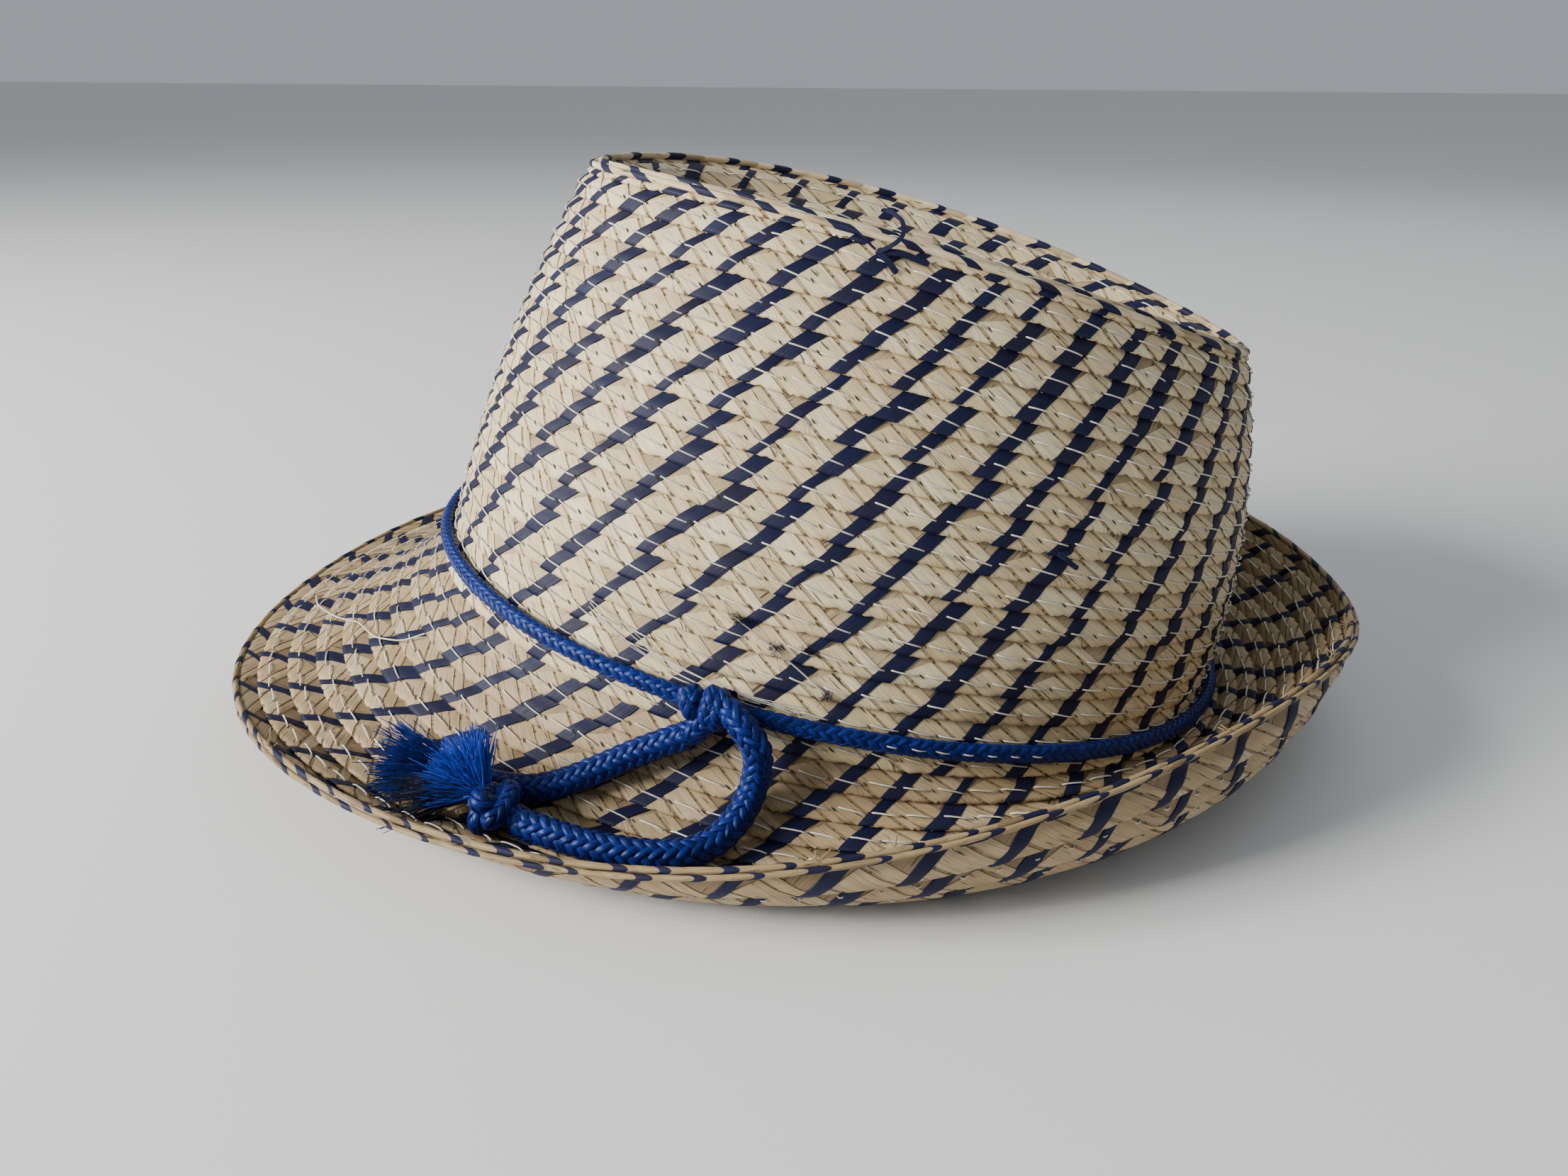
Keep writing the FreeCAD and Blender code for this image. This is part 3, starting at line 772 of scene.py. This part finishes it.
def facing_at(degrees, place):
    return unit(looked_up(skin_out, np.array(math.radians(degrees)), np.array(float(place))))


def add_ribbons(piece, ribbons, degrees, place):
    """Loose navy strips that all face the way the skin does at one spot."""
    facing = facing_at(degrees, place)
    for *line, width in ribbons:
        ribbon(piece, skin_line(*line), width, facing, NAVY)


def top_fold(piece):
    """Pinched fold along the ridge, and the navy strip that has come loose on it."""
    for shift, radius, phase in FOLD_ROLLS:
        place = TIP_END + shift
        wound(piece, place, 0.0, FOLD_OUT, radius, FOLD_LOBE, FOLD_NAVY, phase, FOLD_TINTS)
    add_ribbons(piece, RIDGE_RIBBONS, -7, 16)


def hooked_end(piece):
    add_ribbons(piece, HOOK_RIBBONS, 25, 30)


def dark_fuzz(piece, degrees, place):
    """Short fibres that stand off the braid in all directions."""
    middle = near_skin(math.radians(degrees), float(place), 0.0, 1.3)
    face = facing_at(degrees, place)
    way = unit(random.normal(0, 1, (FUZZ_COUNT, 3)) * (1.0, 1.0, 0.6) + face * 0.3)
    t = np.linspace(0, 1, 5)[None, :, None]
    paths = middle + random.normal(0, 0.4, (FUZZ_COUNT, 1, 3)) + way[:, None] * FUZZ_REACH * t
    paths = paths + random.normal(0, 0.4, (FUZZ_COUNT, 1, 3)) * t ** 2
    add_tubes(piece, paths, FUZZ_RADIUS, 4, FUZZ)


def darning(piece):
    """Mending above the knot, threads that hang along the band, and tacks across it."""
    for end in MEND_ENDS:
        line = skin_line(MEND_DEGREES, (*MEND_PLACES, end), MEND_HEIGHTS)
        add_tubes(piece, line[None], MEND_RADIUS, 6, THREAD)
    for degrees, place in FUZZ_SPOTS:
        dark_fuzz(piece, degrees, place)
    for k in range(HANGING_THREADS):
        wander = random.normal(0, 0.16, len(HANGING_PLACES))
        places = np.array(HANGING_PLACES) + wander + 0.14 * (k - 2)
        line = skin_line((*HANGING_DEGREES, k - 1.0), places, HANGING_HEIGHTS, 60)
        add_tubes(piece, line[None], HANGING_RADIUS, 5, THREAD)
    out = BAND_OUT + BAND_HALF_THICKNESS + 0.15
    for degrees in np.arange(*TACK_DEGREES):
        across = (degrees, degrees + 1.1, degrees + 2.3)
        tack = skin_line(across, TACK_PLACES, (out - 0.6, out + 0.3, out - 0.6), 24)
        add_tubes(piece, tack[None], TACK_RADIUS, 6, THREAD)


def brim_threads(piece):
    """Sewing thread that has come loose on the front of the brim."""
    add_tubes(piece, skin_line(*FRONT_THREAD, 80)[None], FRONT_THREAD_RADIUS, 6, THREAD)


def frayed_edge(piece):
    """Ends of leaf that stick out of the rim."""
    for degrees in FRAY_DEGREES:
        middle = near_skin(math.radians(degrees), float(BRIM_END), 1.2, 1.0)
        face = facing_at(degrees, BRIM_END)
        way = unit(random.normal(0, 0.7, (FRAY_COUNT, 3)) + face)
        t = np.linspace(0, 1, 6)[None, :, None]
        spread = random.normal(0, 0.5, (FRAY_COUNT, 1, 3))
        reach = random.uniform(*FRAY_REACH, (FRAY_COUNT, 1, 1))
        paths = middle + spread + way[:, None] * reach * t
        paths = paths + random.normal(0, 0.5, (FRAY_COUNT, 1, 3)) * t ** 2
        add_tubes(piece, paths, FRAY_RADIUS, 4, STRAW)


LOOSE = {
    "crown_course_01": top_fold,
    "crown_course_08": hooked_end,
    "thread_crown": darning,
    "thread_brim": brim_threads,
    "rim_upper": frayed_edge,
}


def add_loose_ends(piece, name):
    if name in LOOSE:
        LOOSE[name](piece)


# ---- braided cord ----
def frames(path):
    """Two directions across a path that turn with it as little as possible."""
    along = unit(np.gradient(path, axis=0))
    first = np.empty_like(path)
    helper = np.array([0.0, 0.0, 1.0]) if abs(along[0][2]) < 0.9 else np.array([1.0, 0.0, 0.0])
    side = unit(np.cross(along[0], helper))
    for k, way in enumerate(along):
        side = unit(side - way * np.dot(side, way))
        first[k] = side
    return first, np.cross(along, first)


def resampled(path, step):
    reach = run_along(path)
    wanted = np.linspace(0, reach[-1], max(int(reach[-1] / step), 4) + 1)
    return np.stack([np.interp(wanted, reach, path[:, k]) for k in range(3)], axis=-1), wanted


def braided(piece, path, first, second, reach, radii, strands):
    """Strands that run both ways round the path, two over and two under, round a dark core that is
    painted shade between them.
    """
    lead, count, width, thick = strands
    turns = np.linspace(0, 2 * math.pi, 9)
    ra, rb = radii
    for way in (1, -1):
        number = np.arange(count)[:, None]
        angle = way * 2 * math.pi * reach[None, :] / lead + 2 * math.pi * number / count
        over = way * np.cos(math.pi / 2 * (2 * number + way * 2 * count * reach[None, :] / lead - 0.5))
        grow = (1 + 0.85 * thick / max(ra, rb) * over)[..., None]
        c, s = np.cos(angle)[..., None], np.sin(angle)[..., None]
        ring = first[None] * (ra - thick) * c + second[None] * (rb - thick) * s
        centre = path[None] + ring * grow
        out = unit(first[None] * rb * c + second[None] * ra * s)
        run = unit(np.gradient(centre, axis=1))
        side = unit(np.cross(run, out))
        out = np.cross(side, run)
        ring = side[:, :, None] * (width * np.cos(turns))[:, None]
        ring = ring + out[:, :, None] * (thick * np.sin(turns))[:, None]
        grid = centre[:, :, None] + ring
        fibres = np.zeros(grid.shape)
        fibres[..., 0] = reach[None, :, None]
        fibres[..., 1] = width * 1.6 * np.abs(turns / math.pi - 1)
        fibres[..., 2] = random.random(count)[:, None, None]
        piece.add_grids(grid, fibres, STRAND)
    # dark core between the strands: painted shade in the gaps of the braid
    ring = first[:, None] * ((ra - 2 * thick) * np.cos(turns))[:, None]
    ring = ring + second[:, None] * ((rb - 2 * thick) * np.sin(turns))[:, None]
    grid = path[:, None] + ring
    piece.add_grids(grid[None], np.zeros(grid[None].shape), CORE_SHADE)


def cord_piece(looks, name):
    return Piece(name + "_braid", [looks["cord"], looks["cord_core_shade"]])


def cord_along(piece, path, sample, radius, strands):
    """Round cord along a path."""
    path, reach = resampled(path, sample)
    first, second = frames(path)
    braided(piece, path, first, second, reach, (radius, radius), strands)


def nurbs_points(name, route):
    """Points along the free cord's own spline, in the row frame."""
    data = bpy.data.curves.new(name + "_route", "CURVE")
    data.dimensions = "3D"
    data.resolution_u = 16
    spline = data.splines.new("NURBS")
    spline.points.add(len(route) - 1)
    for point, place in zip(spline.points, laid_down(route)):
        point.co = (*place, 1.0)
    spline.order_u = 3
    spline.use_endpoint_u = True
    holder = bpy.data.objects.new(name + "_route", data)
    bpy.context.collection.objects.link(holder)
    bpy.context.view_layer.update()
    mesh = bpy.data.meshes.new_from_object(holder)
    points = np.array([vertex.co[:] for vertex in mesh.vertices])
    bpy.data.objects.remove(holder)
    bpy.data.meshes.remove(mesh)
    return points


def make_tail(looks, name, route):
    """Free cord; its points are made in the row frame, so build() leaves them there."""
    points = nurbs_points(name, route)
    piece = cord_piece(looks, name)
    cord_along(piece, points * 1000, TAIL_SAMPLE, TAIL_RADIUS, TAIL_WEAVE)
    piece.points = [part * 0.001 for part in piece.points]
    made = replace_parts(piece.build(placed=False), name)
    return made, points


def band_step(angle):
    """Place of the band, which rides higher at the back, where the brim turns up."""
    return BAND_STEP - BAND_RISE_AT_BACK * np.maximum(np.sin(angle), 0.0) ** BAND_RISE_POWER


def make_band(looks):
    half = (KNOT_HALF_LENGTH - 1.5) / BASE_HALF_WIDTH
    angles = np.linspace(KNOT_ANGLE + half, KNOT_ANGLE - half + 2 * math.pi, 1400)
    path = near_skin(angles, band_step(angles), 0.0, BAND_OUT)
    run = run_along(path)
    reach = np.linspace(0, run[-1], int(run[-1] / BAND_SAMPLE))
    angles = np.interp(reach, run, angles)
    steps = band_step(angles)
    path = near_skin(angles, steps, 0.0, BAND_OUT)
    out = unit(looked_up(skin_out, angles, steps))
    down = unit(looked_up(skin_down, angles, steps))
    piece = cord_piece(looks, "cord_band")
    radii = (BAND_HALF_HEIGHT, BAND_HALF_THICKNESS)
    braided(piece, path, down, out, reach, radii, BAND_WEAVE)
    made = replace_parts(piece.build(), "cord_band")
    return made


def link(piece, points, radius):
    """Smooth bit of cord between a knot and a tail, through four guiding points."""
    ends = np.array(points, float)
    share = np.linspace(0, 1, 80)[:, None]
    path = ends[0] * (1 - share) ** 3 + 3 * ends[1] * share * (1 - share) ** 2
    path = path + 3 * ends[2] * share ** 2 * (1 - share) + ends[3] * share ** 3
    cord_along(piece, path, CORD_SAMPLE, radius, TAIL_WEAVE)


def make_knot(looks):
    """Coils of the cord round the band, where it is tied."""
    middle = near_skin(KNOT_ANGLE, BAND_STEP, 0.0, KNOT_OUT)
    before = near_skin(KNOT_ANGLE - NUDGE, BAND_STEP, 0.0, KNOT_OUT)
    after = near_skin(KNOT_ANGLE + NUDGE, BAND_STEP, 0.0, KNOT_OUT)
    along = unit(after - before)
    out = unit(looked_up(skin_out, np.array(KNOT_ANGLE), np.array(BAND_STEP)))
    up = np.cross(out, along)
    piece = cord_piece(looks, "cord_knot")
    t = np.linspace(0, 1, 160)
    for first_turn, turns, start, end, half_depth, half_height, tilt in COILS:
        angle = 2 * math.pi * (first_turn + turns * t)
        shift = start + (end - start) * t + tilt * np.sin(angle)
        ring = out * (half_depth * np.cos(angle))[:, None]
        ring = ring + up * (half_height * np.sin(angle))[:, None]
        path = middle + along * shift[:, None] + ring
        cord_along(piece, path, CORD_SAMPLE, COIL_RADIUS, KNOT_WEAVE)
    for route, start, bend, back in (
        (UPPER_TAIL, middle + along * 0.5 - out * 0.3, middle - along * 0.5 - up * 2.0, 3.0),
        (LOWER_TAIL, middle + along * 1.0, middle + along * 3.6 + up * 2.0 + out * 0.5, 2.5),
    ):
        first, second = np.array(route[0]), np.array(route[1])
        way = unit(second - first)
        link(piece, [start, bend, first - way * back, first + way * 2.0], LINK_RADIUS)
    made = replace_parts(piece.build(), "cord_knot")
    return made


def make_end_knot(looks, name, knot, route):
    """Overhand knot at the end of a tail, pulled tight."""
    place, half_sizes, radius = knot
    t = np.linspace(0, 2 * math.pi, 240)
    x = np.sin(t) + 2 * np.sin(2 * t)
    y = np.cos(t) - 2 * np.cos(2 * t)
    z = -np.sin(3 * t)
    local = np.stack([x / 3, z, y / 3], axis=-1) * (np.array(half_sizes) - radius)
    end, before = np.array(route[-1]), np.array(route[-2])
    toward = unit(end - before)
    way = unit(toward * (1.0, 1.0, 0.0))
    side = np.array([-way[1], way[0], 0.0])
    path = np.array(place) + local[:, :1] * way + local[:, 1:2] * side
    path[:, 2] += local[:, 2]
    piece = cord_piece(looks, name)
    cord_along(piece, path, CORD_SAMPLE, radius, END_WEAVE)
    link(piece, [end - toward * 2.5, end, np.array(place) - toward * 3.0, place], TAIL_RADIUS - 0.15)
    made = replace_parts(piece.build(), name)
    return made


def fan(piece, neck, toward, sideways, spread, depth, reach, count, kind):
    """Loose fibres that spread from a neck like a brush; spread and depth are angles."""
    toward = unit(np.array(toward, float))
    sideways = np.array(sideways, float)
    sideways = unit(sideways - toward * np.dot(sideways, toward))
    third = np.cross(toward, sideways)
    a = random.uniform(-1, 1, count) * spread
    b = random.normal(0, depth * 0.5, count)
    way = toward * (np.cos(a) * np.cos(b))[:, None] + sideways * (np.sin(a) * np.cos(b))[:, None]
    way = way + third * np.sin(b)[:, None]
    t = np.linspace(0, 1, 8)[None, :, None]
    length = random.uniform(*reach, count)[:, None, None]
    start = np.array(neck) + random.normal(0, 0.75, (count, 3)) - toward * 1.5
    bend = random.normal(0, 0.55, (count, 1, 3)) * t ** 2
    bend = bend + random.normal(0, 0.3, (count, 1, 3)) * np.sin(4 * t)
    paths = start[:, None] + way[:, None] * length * t + bend
    add_tubes(piece, paths, FIBRE_RADIUS * (1 - 0.45 * t[..., 0]), 4, kind)


def make_tassels(looks):
    """Bright tassel of the lower tail over the darker one of the upper tail."""
    made = {}
    for name, look, neck, brushes in TASSELS:
        piece = Piece(name + "_fibres", [looks[look], looks["fibre_black"]])
        for brush in brushes:
            fan(piece, neck, *brush)
        made[name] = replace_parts(piece.build(), name)
    return made


def make_sweatband(looks):
    """Plain cloth band inside the foot of the crown."""
    inner, outer = SWEATBAND_OUTS
    top, bottom = SWEATBAND_PLACES
    angles = np.linspace(0, 2 * math.pi, 361)
    places = np.concatenate([np.linspace(top, bottom, 10), np.linspace(bottom, top, 10), [top]])
    offs = np.concatenate([np.full(10, inner), np.full(10, outer), [inner]])
    points = near_skin(angles[:, None], places[None, :], 0.0, offs[None, :])
    fibres = np.zeros(points.shape)
    fibres[..., 0] = angles[:, None] * 90
    fibres[..., 1] = places * 3.5
    piece = Piece("sweatband_fabric", [looks["fabric"]])
    piece.add_grids(points[None], fibres[None], 0)
    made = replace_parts(piece.build(), "sweatband")
    return made


# ---- materials ----
def material(name, roughness):
    made = bpy.data.materials.new(name)
    made.use_nodes = True
    shader = made.node_tree.nodes["Principled BSDF"]
    shader.inputs["Roughness"].default_value = roughness
    return made, made.node_tree, shader


def streaks(tree, along, across, offset, detail=3.0):
    """Noise that is drawn out along the fibres."""
    fibre = tree.nodes.new("ShaderNodeAttribute")
    fibre.attribute_name = "fibre"
    scale = tree.nodes.new("ShaderNodeVectorMath")
    scale.operation = "MULTIPLY_ADD"
    scale.inputs[1].default_value = (along, across, FIBRE_SEED_SCALE)
    scale.inputs[2].default_value = (offset, offset * 0.7, offset * 1.3)
    tree.links.new(fibre.outputs["Vector"], scale.inputs[0])
    noise = tree.nodes.new("ShaderNodeTexNoise")
    noise.inputs["Scale"].default_value = 1.0
    noise.inputs["Detail"].default_value = detail
    noise.inputs["Roughness"].default_value = 0.6
    tree.links.new(scale.outputs[0], noise.inputs["Vector"])
    return noise.outputs["Fac"], fibre.outputs["Vector"]


def ramp(tree, source, stops):
    """Colour that follows a value; a stop is its position and colour."""
    node = tree.nodes.new("ShaderNodeValToRGB")
    while len(node.color_ramp.elements) < len(stops):
        node.color_ramp.elements.new(0.5)
    for element, (position, colour) in zip(node.color_ramp.elements, stops):
        element.position = position
        element.color = (*colour, 1.0)
    tree.links.new(source, node.inputs["Fac"])
    return node.outputs["Color"]


def own_tint(tree, vector, stops):
    """Colour of one strip or fibre, from the random number that it carries."""
    split = tree.nodes.new("ShaderNodeSeparateXYZ")
    tree.links.new(vector, split.inputs[0])
    return ramp(tree, split.outputs["Z"], stops)


def multiplied(tree, a, b):
    node = tree.nodes.new("ShaderNodeMix")
    node.data_type = "RGBA"
    node.blend_type = "MULTIPLY"
    node.inputs[0].default_value = 1.0
    tree.links.new(a, node.inputs[6])
    tree.links.new(b, node.inputs[7])
    return node.outputs[2]


def bumped(tree, shader, source, strength):
    bump = tree.nodes.new("ShaderNodeBump")
    bump.inputs["Distance"].default_value = BUMP_DISTANCE
    bump.inputs["Strength"].default_value = strength
    tree.links.new(source, bump.inputs["Height"])
    tree.links.new(bump.outputs["Normal"], shader.inputs["Normal"])


def grey(value):
    return (value, value, value)


def leaf(name, tints, slit, roughness, gloss):
    """Strip of leaf: fine lines along it, a few dark slits and its own tint."""
    made, tree, shader = material(name, roughness)
    shader.inputs["Specular IOR Level"].default_value = gloss
    fine, vector = streaks(tree, 0.09, 3.4, 0.0)
    broad, _ = streaks(tree, 0.16, 0.9, 5.0, 2.0)
    cracks, _ = streaks(tree, 0.16, 1.7, 11.0, 1.0)
    tint = own_tint(tree, vector, tints)
    lines = ramp(tree, fine, [(0.3, grey(0.6)), (0.47, grey(0.93)), (0.7, grey(1.06))])
    clouds = ramp(tree, broad, [(0.3, (0.86, 0.82, 0.76)), (0.7, (1.0, 1.0, 1.0))])
    slits = ramp(tree, cracks, [(0.28, grey(slit)), (0.32, grey(1.0))])
    colour = multiplied(tree, tint, lines)
    colour = multiplied(tree, colour, clouds)
    colour = multiplied(tree, colour, slits)
    tree.links.new(colour, shader.inputs["Base Color"])
    bumped(tree, shader, fine, 0.5)
    return made


def yarn(name, dark, light, roughness, sheen, across=5.0, gloss=(1.0, 1.0, 1.0)):
    """Fibres that lie side by side, darker between them."""
    made, tree, shader = material(name, roughness)
    shader.inputs["Sheen Weight"].default_value = sheen
    shader.inputs["Specular IOR Level"].default_value = 0.35
    shader.inputs["Specular Tint"].default_value = (*gloss, 1.0)
    fine, vector = streaks(tree, 0.35, across, 3.0)
    tint = own_tint(tree, vector, [(0.0, grey(0.75)), (1.0, grey(1.1))])
    lines = ramp(tree, fine, [(0.3, dark), (0.68, light)])
    tree.links.new(multiplied(tree, lines, tint), shader.inputs["Base Color"])
    bumped(tree, shader, fine, 0.45)
    return made


def browned_and_shaded(tints, share):
    """The same leaf, darker and warmer: partly painted shade, partly a browner straw."""
    return [(at, tuple(np.array(colour) * share)) for at, colour in tints]


def make_looks():
    # darker, warmer straw for the brim and the rims: partly painted shade, partly a browner straw
    brim_shaded_tints = browned_and_shaded(NATURAL_TINTS, BRIM_SHADE_SHARE)
    rim_shaded_tints = browned_and_shaded(NATURAL_TINTS, RIM_SHADE_SHARE)
    return {
        "straw": leaf("natural_straw", NATURAL_TINTS, 0.18, 0.6, 0.35),
        "brim_straw_shaded": leaf("brim_straw_shaded", brim_shaded_tints, 0.18, 0.6, 0.35),
        "rim_straw_shaded": leaf("rim_straw_shaded", rim_shaded_tints, 0.18, 0.6, 0.35),
        "navy": leaf("navy_straw", NAVY_TINTS, 0.6, 0.55, 0.25),
        "under": leaf("shaded_straw", UNDER_SHADE_TINTS, 0.5, 0.8, 0.2),
        "thread": yarn("white_thread", (0.60, 0.56, 0.48), (0.90, 0.87, 0.80), 0.6, 0.0, 3.0),
        "hole": leaf("needle_hole_shade", HOLE_SHADE_TINTS, 0.7, 0.9, 0.1),
        "cord": yarn("blue_cord", (0.001, 0.002, 0.016), (0.010, 0.028, 0.22),
                     0.34, 0.0, 6.0, BLUE_GLOSS),
        # near-black core in the gaps between the strands: painted shade
        "cord_core_shade": yarn("blue_cord_core", (0.001, 0.004, 0.03), (0.002, 0.008, 0.07), 0.7, 0.0),
        "tassel": yarn("blue_fibres", (0.006, 0.022, 0.26), (0.05, 0.12, 0.74),
                       0.4, 0.0, 2.0, BLUE_GLOSS),
        "tassel_dark": yarn("deep_blue_fibres", (0.003, 0.010, 0.10), (0.016, 0.05, 0.34),
                            0.45, 0.0, 2.0, BLUE_GLOSS),
        "fibre_black": yarn("black_blue_fibres", (0.002, 0.003, 0.012), (0.006, 0.01, 0.035),
                            0.5, 0.0, 2.0),
        "fabric": yarn("sweatband_cloth", (0.30, 0.24, 0.17), (0.52, 0.44, 0.33), 0.85, 0.2, 1.5),
    }


# ---- surroundings ----
def make_room():
    bpy.ops.mesh.primitive_plane_add(size=FLOOR_SIZE, location=(0, 0, 0))
    floor = bpy.context.object
    floor.name = "floor"
    made, _, shader = material("pale_floor", 0.9)
    shader.inputs["Base Color"].default_value = FLOOR_COLOUR
    floor.data.materials.append(made)
    floor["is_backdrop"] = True
    world = bpy.data.worlds.new("studio")
    bpy.context.scene.world = world
    world.use_nodes = True
    background = world.node_tree.nodes["Background"]
    background.inputs["Color"].default_value = SKY_COLOUR
    background.inputs["Strength"].default_value = SKY_STRENGTH
    for place, size, power, colour in LAMPS:
        data = bpy.data.lights.new("soft_light", "AREA")
        data.size, data.energy, data.color = size, power, colour
        lamp = bpy.data.objects.new("soft_light", data)
        bpy.context.collection.objects.link(lamp)
        lamp.location = place
        way = Vector(LAMP_TARGET) - Vector(place)
        lamp.rotation_euler = way.to_track_quat("-Z", "Y").to_euler()


def main():
    make_camera()
    looks = make_looks()
    pieces = {}
    pieces["tail_upper"], upper_path = make_tail(looks, "tail_upper", UPPER_TAIL)
    pieces["tail_lower"], lower_path = make_tail(looks, "tail_lower", LOWER_TAIL)
    for name, knot, route in (
        ("end_knot_upper", UPPER_END_KNOT, UPPER_TAIL),
        ("end_knot_lower", LOWER_END_KNOT, LOWER_TAIL),
    ):
        pieces[name] = make_end_knot(looks, name, knot, route)
    pieces.update(make_tassels(looks))
    pieces["cord_band"] = make_band(looks)
    pieces["cord_knot"] = make_knot(looks)
    pieces.update(make_courses(looks))
    pieces["braid_start"] = make_braid_start(looks)
    brim = TIP_COURSES + WALL_COURSES
    pieces["thread_tip"] = make_thread(looks, "thread_tip", range(TIP_COURSES))
    pieces["thread_crown"] = make_thread(looks, "thread_crown", range(TIP_COURSES, brim))
    pieces["thread_brim"] = make_thread(looks, "thread_brim", range(brim, brim + BRIM_COURSES - 1))
    for name, *sizes in RIMS:
        pieces[name] = make_rim(looks, name, *sizes)
    pieces["sweatband"] = make_sweatband(looks)
    for piece in pieces.values():
        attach(piece, "root")
    make_room()
    sizes = {"cad_box": [list(corner) for corner in cad_box]}
    sizes["visual_box"] = [list(corner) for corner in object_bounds()]


main()
